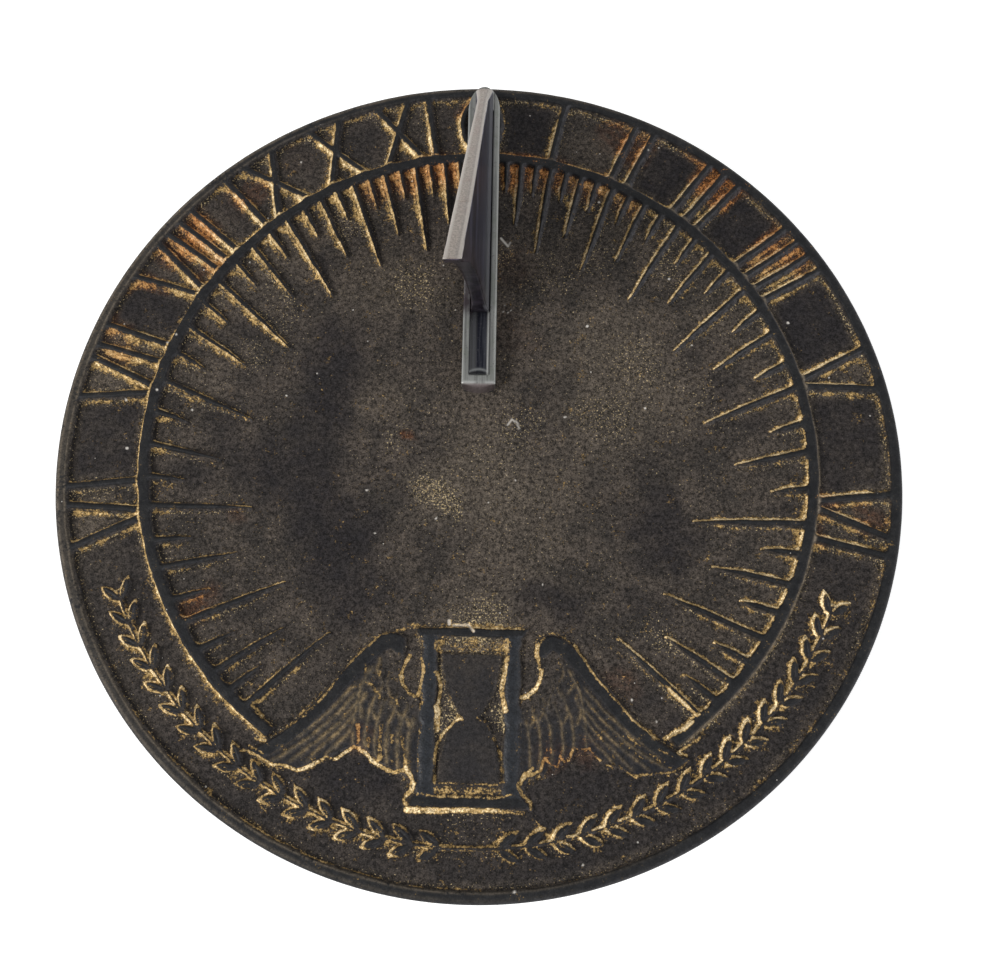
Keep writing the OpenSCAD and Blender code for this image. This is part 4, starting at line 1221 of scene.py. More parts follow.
class Painter:
    """Short names for the nodes that a tree uses again and again."""

    def __init__(self, tree):
        self.tree = tree
        self.links = tree.links

    def node(self, kind):
        return self.tree.nodes.new("ShaderNode" + kind)

    def put(self, socket, value):
        """Links a socket, or sets its value; three numbers are a screen colour."""
        if isinstance(value, bpy.types.NodeSocket):
            self.links.new(value, socket)
        else:
            is_colour = isinstance(value, tuple) and len(value) == 3
            socket.default_value = linear(value) if is_colour else value

    def fill(self, node, values):
        """Puts each value into the input of its name, and gives the node's outputs."""
        for label, value in values.items():
            self.put(node.inputs[label], value)
        return node.outputs

    def math(self, operation, a, b, clamp=False):
        node = self.node("Math")
        node.operation = operation
        node.use_clamp = clamp
        self.put(node.inputs[0], a)
        self.put(node.inputs[1], b)
        return node.outputs[0]

    def add(self, a, b):
        return self.math("ADD", a, b)

    def less(self, a, b):
        return self.math("SUBTRACT", a, b)

    def scaled(self, a, b):
        return self.math("MULTIPLY", a, b)

    def times(self, a, b):
        """A product kept between 0 and 1, for masks."""
        return self.math("MULTIPLY", a, b, clamp=True)

    def larger(self, a, b):
        return self.math("MAXIMUM", a, b)

    def span(self, value, low, high, to_low=0.0, to_high=1.0):
        """Smoothly maps low..high to to_low..to_high."""
        node = self.node("MapRange")
        node.interpolation_type = "SMOOTHSTEP"
        return self.fill(node, {"Value": value, "From Min": low, "From Max": high, "To Min": to_low,
                                "To Max": to_high})["Result"]

    def noise(self, place, scale, detail=2.0, rough=0.6):
        """Noise of `scale` waves to the metre, with finer waves added by detail and rough."""
        return self.fill(self.node("TexNoise"), {"Vector": place, "Scale": scale, "Detail": detail,
                                                 "Roughness": rough})["Fac"]

    def blend(self, factor, a, b, mode="MIX"):
        """Mixes two colours."""
        node = self.node("Mix")
        node.data_type = "RGBA"
        node.blend_type = mode
        self.put(node.inputs["Factor"], factor)
        self.put(node.inputs[6], a)
        self.put(node.inputs[7], b)
        return node.outputs[2]

    def coats(self, tone, *coats):
        """Lays coats over a tone in turn; each is a mask and a colour."""
        for mask, colour in coats:
            tone = self.blend(mask, tone, colour)
        return tone

    def layer(self, name):
        """A number stored on the mesh."""
        node = self.node("Attribute")
        node.attribute_name = name
        return node.outputs["Fac"]

    def group(self, tree, **values):
        """A group's node, with its inputs put by name."""
        node = self.node("Group")
        node.node_tree = tree
        return self.fill(node, values)


# %% [markdown]
# ## Shared paint effects
# Two effects are node groups with named inputs, because a group can be tried on any material
# and changed in one place. Grain scatters two sizes of speckle, which appear where a noise
# passes a level. Rub marks break a mask up, as a cloth leaves patches.

# %% Group helper


def make_group(name, inputs, outputs):
    """An empty shader group with its painter, and its input and output sockets by name."""
    tree = bpy.data.node_groups.new(name, "ShaderNodeTree")
    for label, kind, value in inputs:
        socket = tree.interface.new_socket(label, in_out="INPUT", socket_type=kind)
        if value is not None:
            socket.default_value = value
    for label in outputs:
        tree.interface.new_socket(label, in_out="OUTPUT", socket_type="NodeSocketFloat")
    inner, outer = tree.nodes.new("NodeGroupInput"), tree.nodes.new("NodeGroupOutput")
    return tree, Painter(tree), inner.outputs, outer.inputs


# %% Grain group
LEVEL, LEVEL_FALL = 0.765, 0.27
DUST_SCALE, DUST_FROM, DUST_SIZE = 260.0, 0.78, 0.075
grain_tree, paint, given, results = make_group(
    "metal_grain", [("Vector", "NodeSocketVector", None), ("Amount", "NodeSocketFloat", 0.5)],
    ["Fine", "Coarse", "Dust"])
# Grains appear where a small noise passes a level that falls as the amount rises
level = paint.less(LEVEL, paint.scaled(given["Amount"], LEVEL_FALL))
fine = paint.noise(given["Vector"], 1900.0, 1.5)
paint.put(results["Fine"], paint.span(fine, level, paint.add(level, 0.07)))
coarse = paint.noise(given["Vector"], 950.0)
paint.put(results["Coarse"], paint.span(coarse, level, paint.add(level, 0.10)))
# Dust sits in the middle of a few cells, each with its own random size
cells = paint.node("TexVoronoi")
cells.inputs["Scale"].default_value = DUST_SCALE
paint.put(cells.inputs["Vector"], given["Vector"])
pick = paint.node("SeparateColor")
paint.put(pick.inputs[0], cells.outputs["Color"])
speck_size = paint.span(pick.outputs[0], DUST_FROM, 1.0, 0.0, DUST_SIZE)
paint.put(results["Dust"], paint.math("LESS_THAN", cells.outputs["Distance"], speck_size))

# %% Rub group
PATCH_SHARE, RAGGED_SHARE = 0.45, 0.55
RUB_FROM, RUB_SPAN, RUB_EDGE = 0.28, 0.36, 0.14
rub_tree, paint, given, results = make_group(
    "cloth_rub", [("Vector", "NodeSocketVector", None), ("Mask", "NodeSocketFloat", 1.0),
                  ("Left", "NodeSocketFloat", 0.5)], ["Mask"])
# The larger patches say how much is left; the finer ones give the ragged edge
patches = paint.scaled(paint.noise(given["Vector"], 150.0, 3.0), PATCH_SHARE)
ragged = paint.scaled(paint.noise(given["Vector"], 1100.0), RAGGED_SHARE)
gone = paint.add(paint.scaled(paint.less(1.0, given["Left"]), RUB_SPAN), RUB_FROM)
kept = paint.span(paint.add(patches, ragged), gone, paint.add(gone, RUB_EDGE))
paint.put(results["Mask"], paint.times(kept, given["Mask"]))
print("groups:", [g.name for g in bpy.data.node_groups])

# %% [markdown]
# ## The face's finish
# The coats go on as the real ones did: dark brown metal with a grain, black soot over parts of it, smooth
# black paint on the high places, gold on the slopes, and rust that shows orange through it. Painted shade
# darkens the ground in the lee of the walls and in corners. The shader stays dull, because a cast face
# scatters light.

# %% Material helpers


def new_material(name):
    """A material's painter, its Principled shader's inputs, and Object coordinates."""
    material = bpy.data.materials.new(name)
    material.use_nodes = True
    paint = Painter(material.node_tree)
    shader = material.node_tree.nodes["Principled BSDF"].inputs
    return material, paint, shader, paint.node("TexCoord").outputs["Object"]


def bump(paint, shader, height, distance, strength):
    """Feeds a height, as a share of a distance in metres, to the shader's normal."""
    node = paint.node("Bump")
    node.inputs["Strength"].default_value = strength
    node.inputs["Distance"].default_value = distance
    paint.put(node.inputs["Height"], height)
    paint.put(shader["Normal"], node.outputs["Normal"])


# %% Field paint
face_finish, paint, shader, place = new_material("painted_casting")
mask = {name: paint.layer(name) for name in layers}
mottle = paint.noise(place, 105.0, 4.0, 0.62)
small_mottle = paint.noise(place, 480.0, 3.0)
sooty = paint.times(mask["soot"], paint.span(paint.noise(place, 170.0, 3.0), 0.2, 0.75, 1.15, 0.75))
# How thick the grains lie: more by corners and on bright ground, fewer on soot
amount = paint.add(paint.scaled(mask["grainy"], 0.55), paint.scaled(mask["grains"], 0.5))
amount = paint.add(amount, paint.add(0.32, paint.scaled(mask["bright"], 0.12)))
amount = paint.less(amount, paint.scaled(sooty, 0.3))
grain = paint.group(grain_tree, Vector=place, Amount=amount)
brown = paint.blend(paint.span(mottle, 0.35, 0.68), (51, 47, 44), (72, 65, 59))
grain_tone = paint.blend(mask["rust"], (182, 162, 122), (176, 118, 60))
field = paint.coats(
    brown,
    (paint.times(mask["bright"], 0.8), (86, 78, 69)),
    (paint.span(small_mottle, 0.50, 0.72, 0.0, 0.5), (38, 35, 33)),
    (paint.scaled(grain["Coarse"], 0.45), (112, 99, 78)),
    (paint.times(sooty, 0.92), (32, 30, 32)),
    # Painted shade in the lee of the walls and in corners
    (mask["shade"], (30, 27, 26)),
    (paint.times(mask["rust"], paint.span(small_mottle, 0.28, 0.6, 0.15, 0.9)), (74, 45, 27)),
    (paint.scaled(grain["Fine"], 0.72), grain_tone))

# %% [markdown]
# ## Paint on the high places
# The high places are smooth and nearly black, the columns are a little bluer and glossier,
# the glass is brown, and the feathers have brown lines on dark hollows. The height map's own
# value tells the material where the high places are.

# %% Raised paint
raised = paint.span(mask["raised"], 0.40, 0.85)
black = paint.blend(paint.span(paint.noise(place, 260.0, 3.0), 0.3, 0.7), (17, 18, 21), (33, 33, 34))
fine_wear = paint.span(paint.noise(place, 1500.0), 0.60, 0.76)
black = paint.coats(black, (paint.times(mask["column"], 0.6), (42, 45, 50)),
                    (paint.times(fine_wear, 0.3), (80, 76, 70)))
glass_tone = paint.blend(paint.span(mottle, 0.4, 0.65), (38, 36, 37), (50, 46, 44))
quill_tone = paint.blend(paint.span(small_mottle, 0.4, 0.65), (88, 78, 62), (136, 116, 84))
coat = paint.coats(
    field,
    (raised, black),
    (paint.times(mask["glass"], 0.9), glass_tone),
    (paint.times(mask["gap"], paint.span(small_mottle, 0.3, 0.66, 0.9, 0.5)), (31, 33, 38)),
    (paint.times(mask["quill"], paint.span(paint.noise(place, 330.0), 0.30, 0.58, 0.3, 1.0)), quill_tone),
    # A painted grey sheen on the slopes that face east
    (paint.times(mask["painted_sheen"], paint.span(small_mottle, 0.3, 0.62, 0.4, 0.95)), (78, 77, 80)))

# %% [markdown]
# ## Rubbed gold and painted highlights
# The more gold a place has kept, and the more painted light its slope gets, the more of it is covered and
# the brighter its tone. Two noises are added to the mask, and the sum is read twice: a low level says where
# there is gold, and higher levels make it paler, so the grains get thicker as well as brighter.

# %% Gold
scatter = paint.scaled(paint.less(paint.noise(place, 1500.0, 3.0, 0.65), 0.5), 2.0)
drift = paint.scaled(paint.less(paint.noise(place, 260.0, 2.0, 0.5), 0.5), 1.5)
shown = paint.add(paint.add(paint.scaled(mask["gold_and_highlight"], 1.12), scatter), drift)
leaf = paint.coats(
    paint.blend(paint.span(shown, 0.50, 0.82), (100, 80, 48), (168, 140, 92)),
    (paint.span(shown, 0.90, 1.35), (236, 212, 168)),
    (paint.times(mask["rust"], 0.62), (178, 108, 56)))
# Pale worn paint, and a painted highlight on the west edge and rim
pale_left = paint.group(rub_tree, Vector=place, Mask=mask["pale_wear_and_highlight"], Left=0.8)
coat = paint.coats(coat, (paint.span(shown, 0.40, 0.60), leaf), (pale_left["Mask"], (132, 120, 104)))

# %% [markdown]
# ## Fine grain over everything
# A cast and brushed face changes tone from one grain to the next. Two noises multiply the
# colour, less so on smooth paint, and dust lies on top. The same kind of noise, as a height,
# gives the skin its dull sparkle.

# %% Fine grain
FLECK, FLECK_MEAN, FLECK_LEAST = 3.7, 0.96, 0.25
fleck = paint.add(paint.scaled(paint.less(paint.noise(place, 2500.0), 0.5), FLECK),
                  paint.scaled(paint.less(paint.noise(place, 820.0, 3.0, 0.65), 0.5), FLECK))
calm = paint.larger(paint.larger(raised, mask["shade"]), mask["gap"])
fleck = paint.scaled(fleck, paint.span(calm, 0.0, 1.0, 1.0, 0.5))
coat = paint.blend(1.0, coat, paint.larger(paint.add(fleck, FLECK_MEAN), FLECK_LEAST), "MULTIPLY")
dusty = paint.larger(paint.scaled(grain["Dust"], 0.6), mask["dust"])
paint.put(shader["Base Color"], paint.blend(dusty, coat, (206, 200, 192)))
rough = paint.span(raised, 0.0, 1.0, 0.82, 0.55)
paint.put(shader["Roughness"], paint.less(rough, paint.scaled(mask["column"], 0.2)))
paint.put(shader["Specular IOR Level"], 0.16)
skin = paint.add(paint.scaled(paint.noise(place, 1900.0), 0.7), paint.scaled(paint.noise(place, 700.0), 0.8))
bump(paint, shader, skin, 0.00026, 0.6)
print("nodes in the face's finish", len(paint.tree.nodes))

# %% [markdown]
# ## Placing the face
# The face is cut into eight sectors, so that no piece is too heavy. They share their edge
# points and take their shading normals from the whole map, so no seam shows.

# %% Face pieces
face_pieces = []
sector_columns = COLUMNS // SECTORS
for n in range(SECTORS):
    own = np.arange(n * sector_columns, (n + 1) * sector_columns + 1) % COLUMNS
    mesh = grid_mesh(f"dial_face_{n + 1}", points[:, own])
    for label, values in layers.items():
        set_layer(mesh, label, values[:, own])
    mesh.normals_split_custom_set_from_vertices(normals[:, own].reshape(-1, 3).tolist())
    face_pieces.append(add_piece(mesh, face_finish, "cast_dark", "dial_plate"))
print("face sectors:", len(face_pieces), "with", len(face_pieces[0].data.polygons), "faces each")

# %% [markdown]
# ## Middle of the face
# Inside the lines there is only plain metal and the seat of the rail, so a coarser disc is
# enough. It takes a third of the columns, and its last row meets the sectors' first row. Its
# stains come from the same lists, so nothing changes at the border.

# %% Middle of the face
INNER_R, INNER_ROWS = 1.0, 110
EVERY = 3
inner_r = np.linspace(INNER_R, FINE_FROM, INNER_ROWS)
ir, ia = np.meshgrid(inner_r, column_a[::EVERY], indexing="ij")
ix, iy = ir * np.sin(ia), ir * np.cos(ia)
middle_relief = soft_step(seat_depth(*wander(ix, iy)), 0.95)
iz = np.minimum(casting(ix, iy, middle_relief), TOP_Z - RAIL_CLEAR)
mesh = grid_mesh("dial_middle", np.stack([ix, iy, iz], -1), wrap=True, cap_first=True)
middle_layers = {label: np.zeros_like(ix) for label in layers}
middle_layers.update(stain_layers(ix, iy))
middle_layers["raised"] = middle_relief
for label, values in middle_layers.items():
    set_layer(mesh, label, np.append(values, values[0].mean()))
add_piece(mesh, face_finish, "cast_dark", "dial_plate")
print("middle faces", len(mesh.polygons))

# %% [markdown]
# ## Edge and underside
# Below the rounded edge the plate is a shallow pan: a skirt wall, a narrow rest face, a cove
# and the back of the web. It is one profile turned about the middle, from the edge inwards.

# %% Skirt profile
SKIRT_T, COVE_R, BACK_Z = 3.4, 1.6, 3.2
SKIRT_IN = PLATE_R - SKIRT_T
cove = np.radians(np.linspace(0, 90, 7))
# The outer wall, whose first height is taken from the face below, and the rounded rest face
profile = [[PLATE_R, 0.0], [PLATE_R, 4.5], [PLATE_R, 1.6], [PLATE_R - 0.05, 0.5],
           [PLATE_R - 0.25, 0.12], [PLATE_R - 0.6, 0.0], [SKIRT_IN + 0.5, 0.0],
           [SKIRT_IN + 0.15, 0.1], [SKIRT_IN, 0.4]]
profile += [[SKIRT_IN - COVE_R + COVE_R * math.cos(a), BACK_Z - COVE_R + COVE_R * math.sin(a)] for a in cove]
profile += [[r, BACK_Z] for r in (110, 90, 60, 30, 4)]
profile = np.array(profile)
sr, sa = np.meshgrid(profile[:, 0], column_a, indexing="ij")
sx, sy = sr * np.sin(sa), sr * np.cos(sa)
sz = np.repeat(profile[:, 1:], COLUMNS, axis=1)
# The first row is the face's last one, and the back is as uneven as any casting
sz[0] = Z[-1]
back = (profile[:, 0] < 119)[:, None]
sz = sz + back * 0.05 * soft_noise(sx, sy, 9.0, 51)
print("skirt profile points", len(profile))

# %% [markdown]
# ## Paint of the edge
# The edge and the underside were never rubbed with gold. They are plain black paint with a
# little grain and a breath of rust, so a few noises are enough.

# %% Skirt finish
skirt_finish, paint, shader, place = new_material("painted_edge")
grain = paint.group(grain_tree, Vector=place, Amount=0.35)
rusty = paint.span(paint.noise(place, 60.0, 4.0, 0.65), 0.56, 0.72)
tone = paint.coats(
    paint.blend(paint.span(paint.noise(place, 110.0, 4.0), 0.35, 0.7), (30, 32, 33), (50, 49, 47)),
    (paint.scaled(rusty, 0.6), (74, 54, 40)),
    (paint.scaled(grain["Fine"], 0.5), (122, 110, 90)))
paint.put(shader["Base Color"], tone)
paint.put(shader["Roughness"], paint.span(paint.noise(place, 300.0, 2.0, 0.5), 0.3, 0.7, 0.55, 0.8))
paint.put(shader["Specular IOR Level"], 0.2)
bump(paint, shader, paint.noise(place, 900.0, 3.0), 0.00025, 0.6)

mesh = grid_mesh("dial_skirt", np.stack([sx, sy, sz], -1), wrap=True, cap_last=True)
add_piece(mesh, skirt_finish, "cast_dark", "dial_plate")
print("skirt faces", len(mesh.polygons))

# %% [markdown]
# ## The rail
# The rail is a flat bar with a groove along it. Its north end is pointed like an arch and
# its south end slopes down to a bowed foot. Each row of the grid is the bar's cross-section
# at one station, from the left foot over the top to the right foot, so the groove's walls
# and the rounded edges are part of the same surface.

# %% Rail sizes and stations
RAIL_W, RAIL_NORTH, RAIL_SOUTH, RAIL_TOP = 10.4, 124.6, 18.2, 11.2
GROOVE_W, GROOVE_Z, GROOVE_FROM, GROOVE_TO = 6.0, 10.0, 23.0, 115.6
TIP_L, BOW, NOSE_END = 9.0, 1.5, 20.3
EDGE_FROM, EDGE_DROP = 0.915, 0.28
TIP_FROM = RAIL_NORTH - TIP_L


def across_rail():
    """Places across the rail as shares of half its width, close together at edges and groove."""
    edge = 1 - 0.09 * (1 - np.cos(np.linspace(1.5, 0.5, 4)))
    east_part = np.concatenate([0.577 + 0.02 * np.linspace(-1, 2, 6), np.linspace(0.64, 0.86, 4),
                                edge, [1, 1, 1]])
    return np.concatenate([-east_part[::-1], np.linspace(-0.5, 0.5, 13), east_part])


def along_rail():
    """Stations along the rail, close together at the groove's ends and at the tip."""
    return np.concatenate([
        np.linspace(20.6, 30, 26), np.linspace(30.5, 110, 60), np.linspace(110.6, 115.4, 12),
        TIP_FROM + TIP_L * np.sin(np.radians(np.linspace(0, 90, 22)))])


# %% Rail surface


def nose_row(t, u, edge, fall):
    """One section of the nose, which rises from a bowed foot line to a straight top edge."""
    y = mix(RAIL_SOUTH + BOW * u ** 2, NOSE_END, t ** 0.8)
    z = mix(TOP_Z, RAIL_TOP, np.sin(t * math.pi / 2) ** 0.8) * np.ones_like(u)
    x = (RAIL_W / 2) * u * (1 - 0.05 * (1 - t))
    return np.stack([x, y, mix(z, TOP_Z, np.maximum(fall, 0.1 * edge ** 2))], -1)


def bar_row(y, u, edge, fall):
    """One section of the bar: rounded edges, the groove with its scooped end, and the arched tip."""
    half = RAIL_W / 2 * math.sqrt(max(0.0, 1 - max(0.0, (y - RAIL_NORTH + TIP_L) / TIP_L) ** 2))
    scoop = np.clip((y - GROOVE_FROM) / 3.2, 0, 1)
    scoop = math.sqrt(1 - (1 - scoop) ** 2) * (y < GROOVE_TO)
    inside = soft_step(GROOVE_W / 2 - np.abs(RAIL_W / 2 * u), 0.3) * (y <= TIP_FROM)
    z = RAIL_TOP - EDGE_DROP * edge ** 2 * np.ones_like(u)
    z = z - (RAIL_TOP - GROOVE_Z) * scoop * inside
    return np.stack([half * u, np.full_like(u, y), mix(z, TOP_Z, fall)], -1)


def rail_rows():
    """Cross-sections along the rail; each is x, y and z over a line that runs across it."""
    u = across_rail()
    # The outermost three places at each side fall to the plate
    fall = np.zeros_like(u)
    fall[[0, -1]], fall[[1, -2]], fall[[2, -3]] = 1.0, 0.55, 0.16
    edge = np.clip((np.abs(u) - EDGE_FROM) / (1 - EDGE_FROM), 0, 1)
    nose = [nose_row(t, u, edge, fall) for t in np.linspace(0, 1, 7)[:-1]]
    return np.array(nose + [bar_row(y, u, edge, fall) for y in along_rail()])


rail_points = rail_rows()
print("rail grid", rail_points.shape)

# %% [markdown]
# ## Light and dark on the rail
# A polished bar shows its surroundings: its long edges catch the light, the groove mirrors
# the sky in one half and the blade in the other, and its south end has a curved step from the
# cutter. These marks are light rather than shape, so they are layers, each a formula of place.

# %% Rail layers
rail_x, rail_y = rail_points[..., 0], rail_points[..., 1]
in_groove = rail_y > GROOVE_FROM
sunk = soft_step(GROOVE_W / 2 + 0.15 - np.abs(rail_x), 0.5) * soft_step(rail_y - GROOVE_FROM - 0.4, 1.2)
sunk *= rail_y < GROOVE_TO
# Painted highlights along the long edges, across the nose and on the groove's east lip
nose_glint_sides = np.maximum(soft_step(-0.9 - rail_x, 0.8), 0.8 * soft_step(rail_x - 2.0, 0.8))
long_edges = soft_line(np.abs(rail_x) - RAIL_W / 2 + 0.25, 0.28) * 0.6
nose_line = soft_line(rail_y - 20.7, 0.32) * (0.25 + 0.75 * nose_glint_sides)
east_lip = soft_line(rail_x - GROOVE_W / 2 + 0.3, 0.3) * in_groove
bright_edge = np.maximum.reduce([long_edges, nose_line, east_lip]) * soft_step(rail_y - 20.0, 0.5)
# The cutter's step: light on top, dark below it
step_y = 25.3 - 0.1 * rail_x ** 2
rail_layers = {
    "sunk": sunk, "bright_edge": bright_edge,
    "scribed": soft_line(rail_x - GROOVE_W / 2 - 0.22, 0.16) * in_groove,
    "slope_end": soft_step(20.2 - rail_y, 0.9), "east_half": soft_step(rail_x + 0.9, 0.5),
    "step_light": sunk * soft_line(rail_y - step_y, 0.4),
    "step_dark": sunk * soft_step(step_y - 0.45 - rail_y, 0.5),
    # The west land mirrors the dark foot of the blade
    "blade_mirror": (soft_step(rail_y - 43, 2.0) * soft_step(78 - rail_y, 8.0)
                     * soft_step(-rail_x - 2.4, 0.6))}
print("rail layers:", ", ".join(rail_layers))

# %% [markdown]
# ## Satin metal
# The rail was ground along its length, so its finish is a noise drawn out along y. The same
# streaks steer colour, roughness and a faint bump, as real grinding marks do.

# %% Rail finish
SQUEEZED = {"y": (False, True, False), "z": (False, False, True)}


def streaks(paint, place, scale, along="y", stretch=40.0):
    """Noise drawn out along one axis, for the marks that grinding and polishing leave."""
    node = paint.node("Mapping")
    node.inputs["Scale"].default_value = [1 / stretch if drawn else 1 for drawn in SQUEEZED[along]]
    paint.put(node.inputs["Vector"], place)
    return paint.noise(node.outputs["Vector"], scale, 3.0)


rail_finish, paint, shader, place = new_material("satin_rail")
grinding = streaks(paint, place, 1500.0)
pit = paint.span(paint.noise(place, 1500.0), 0.60, 0.68)
patch = paint.noise(place, 180.0, 3.0)
# The groove reflects the pale sky in its west half and the dark blade in its east half
groove_tone = paint.coats(
    paint.blend(paint.layer("east_half"), (66, 66, 67), (22, 23, 33)),
    (paint.span(grinding, 0.45, 0.62, 0.0, 0.3), (84, 86, 92)))
tone = paint.coats(
    paint.blend(paint.span(grinding, 0.3, 0.7), (102, 103, 101), (136, 137, 134)),
    (paint.span(patch, 0.45, 0.75, 0.0, 0.7), (104, 109, 100)),
    (paint.scaled(pit, 0.6), (62, 60, 60)),
    (paint.layer("sunk"), groove_tone),
    (paint.times(paint.layer("step_dark"), 0.8), (24, 24, 28)),
    (paint.times(paint.layer("step_light"), 0.75), (132, 134, 134)),
    (paint.scaled(paint.layer("bright_edge"), 0.8), (176, 177, 174)),
    (paint.scaled(paint.layer("scribed"), 0.75), (44, 44, 46)),
    (paint.times(paint.layer("blade_mirror"), paint.span(patch, 0.3, 0.6, 0.5, 0.95)), (56, 48, 52)),
    # Painted shade on the sloping south end
    (paint.scaled(paint.layer("slope_end"), 0.85), (104, 92, 92)))
paint.put(shader["Base Color"], tone)
paint.put(shader["Metallic"], paint.span(pit, 0.0, 1.0, 0.8, 0.3))
paint.put(shader["Roughness"], paint.span(grinding, 0.2, 0.8, 0.36, 0.52))
bump(paint, shader, grinding, 0.00012, 0.35)

mesh = grid_mesh("rail", rail_points)
for label, values in rail_layers.items():
    set_layer(mesh, label, values)
add_piece(mesh, rail_finish, "rail_metal", "gnomon_rail")
print("rail faces", len(mesh.polygons))

# %% [markdown]
# ## The blade
# The blade is a plate that stands in the groove and leans a little to the west. Its upper
# edge is the style: it rises from noon at the angle of the latitude, and it thickens a
# little towards its high end. Its foot flares out to fill the groove, and its south edge is
# hollow. Each row of the grid is a closed loop round the blade at one station, from the foot
# up one face, over the edge and down the other face.

# %% Blade sizes
BLADE_LOW, BLADE_HIGH, BLADE_FOOT = 123.9, 16.6, 44.2
BLADE_L = BLADE_LOW - BLADE_HIGH
BLADE_H = BLADE_L * math.tan(LATITUDE)
LEAN = math.radians(3.7)
END_H, HOLLOW, HOLLOW_RISE = 5.0, 9.0, 2.0
LOW_T, HIGH_T, FLARE_H = 3.5, 4.3, 8.0
ARRIS, TOP_ARRIS_H, HOLLOW_ARRIS_H = 0.4, 0.5, 0.6
STRAIGHT_ROWS, HOLLOW_ROWS = 69, 60
ON_RAIL = 0.001


def blade_thickness(y, h):
    """A wedge in plan, LOW_T to HIGH_T, and a foot that widens to STYLE_T below FLARE_H."""
    wedge = mix(LOW_T, HIGH_T, np.clip((BLADE_LOW - y) / BLADE_L, 0, 1))
    return np.maximum(wedge, mix(STYLE_T, LOW_T, np.clip(h / FLARE_H, 0, 1)))


# %% Blade outline


def blade_edges():
    """Points (y, h) of the lower edge, straight then hollow, and of the style above each."""
    end = np.array([BLADE_HIGH + END_H * 0.35, BLADE_H - END_H])
    foot = np.array([BLADE_FOOT, 0.0])
    bend = mix(foot, end, 0.5) + [HOLLOW, HOLLOW_RISE]
    hollow = curve([foot, bend, end], np.linspace(0, 1, HOLLOW_ROWS) ** 0.9)
    straight = np.stack([np.linspace(BLADE_LOW, BLADE_FOOT, STRAIGHT_ROWS + 1)[:-1],
                         np.zeros(STRAIGHT_ROWS)], -1)
    lower = np.vstack([straight, hollow])
    # The style's points are spread over its whole length, so the rows turn towards the end
    part = np.clip((BLADE_LOW - straight[:, 0]) / (BLADE_LOW - end[0]), 0, 1)
    upper_y = mix(BLADE_LOW, BLADE_HIGH, part)
    upper_y = np.append(upper_y, np.linspace(0, 1, HOLLOW_ROWS) * (BLADE_HIGH - upper_y[-1]) + upper_y[-1])
    return lower, np.stack([upper_y, (BLADE_LOW - upper_y) * math.tan(LATITUDE)], -1)


def blade_loop(low, high, climb):
    """One loop round the blade: up the east face, over the style, down the west face, below."""
    y = mix(low[0], high[0], climb)
    h = mix(low[1], high[1], climb)
    length = math.hypot(*(high - low)) + 1e-6
    narrow = np.sqrt(np.clip(1 - np.clip((y - RAIL_NORTH + TIP_L) / (TIP_L - 0.3), 0, 1) ** 2, 0, 1))
    half = np.minimum(blade_thickness(y, h) / 2, (RAIL_W / 2 - 0.7) * narrow + 0.15)
    # Rounded arrises along the style and along the hollow edge
    soften = ARRIS * np.clip(1 - (1 - climb) * length / TOP_ARRIS_H, 0, 1) ** 2
    if low[1] > 0:
        soften = soften + ARRIS * np.clip(1 - climb * length / HOLLOW_ARRIS_H, 0, 1) ** 2
    half = half - soften
    face = np.stack([half, y, h], -1)
    u = np.linspace(1, -1, 9)[1:-1]
    over = np.stack([u * half[-1], np.full(7, y[-1]), np.full(7, h[-1]) + 0.1 * (1 - u ** 2)], -1)
    under = np.stack([u[::-1] * half[0], np.full(7, y[0]), np.full(7, h[0])], -1)
    return np.vstack([face, over, face[::-1] * [-1, 1, 1], under])


# %% Blade surface


def blade_rows():
    """Loops from the low end to the high end, then the lean; the foot goes down into the groove."""
    climb = np.concatenate([[0.0], 0.02 * np.arange(1, 3), np.linspace(0.08, 0.94, 22), [0.97, 0.99]])
    loops = np.array([blade_loop(low, high, climb) for low, high in zip(*blade_edges())])
    x, y, h = loops[..., 0], loops[..., 1], loops[..., 2]
    tongue = (h <= ON_RAIL) & (y < GROOVE_TO - 0.1) & (y > BLADE_FOOT - 0.01)
    lx = x * math.cos(LEAN) - h * math.sin(LEAN)
    lz = RAIL_TOP + x * math.sin(LEAN) + h * math.cos(LEAN)
    lz = np.where(h <= ON_RAIL, RAIL_TOP - np.where(tongue, RAIL_TOP - GROOVE_Z, -0.02), lz)
    return np.stack([lx, y, lz], -1)


def blade_spread(at):
    """How far across the blade's thickness a point is, -1 to 1, with the lean taken out."""
    h = (at[..., 2] - RAIL_TOP) / math.cos(LEAN)
    return (at[..., 0] + h * math.sin(LEAN)) * 2 / blade_thickness(at[..., 1], np.maximum(h, 0))


blade_points = blade_rows()
print("blade grid", blade_points.shape, "top", round(float(blade_points[..., 2].max()), 1), "mm")

# %% [markdown]
# ## Polished metal
# The blade's sides are polished, and their dark bluish streaks are a painted reflection of the dark dial,
# while the style on top was ground and looks pale and warm. The face's own normal tells the two apart, so
# one material serves the whole blade. Its south part has a blotched painted reflection, and its foot a
# painted reflection of the rail.

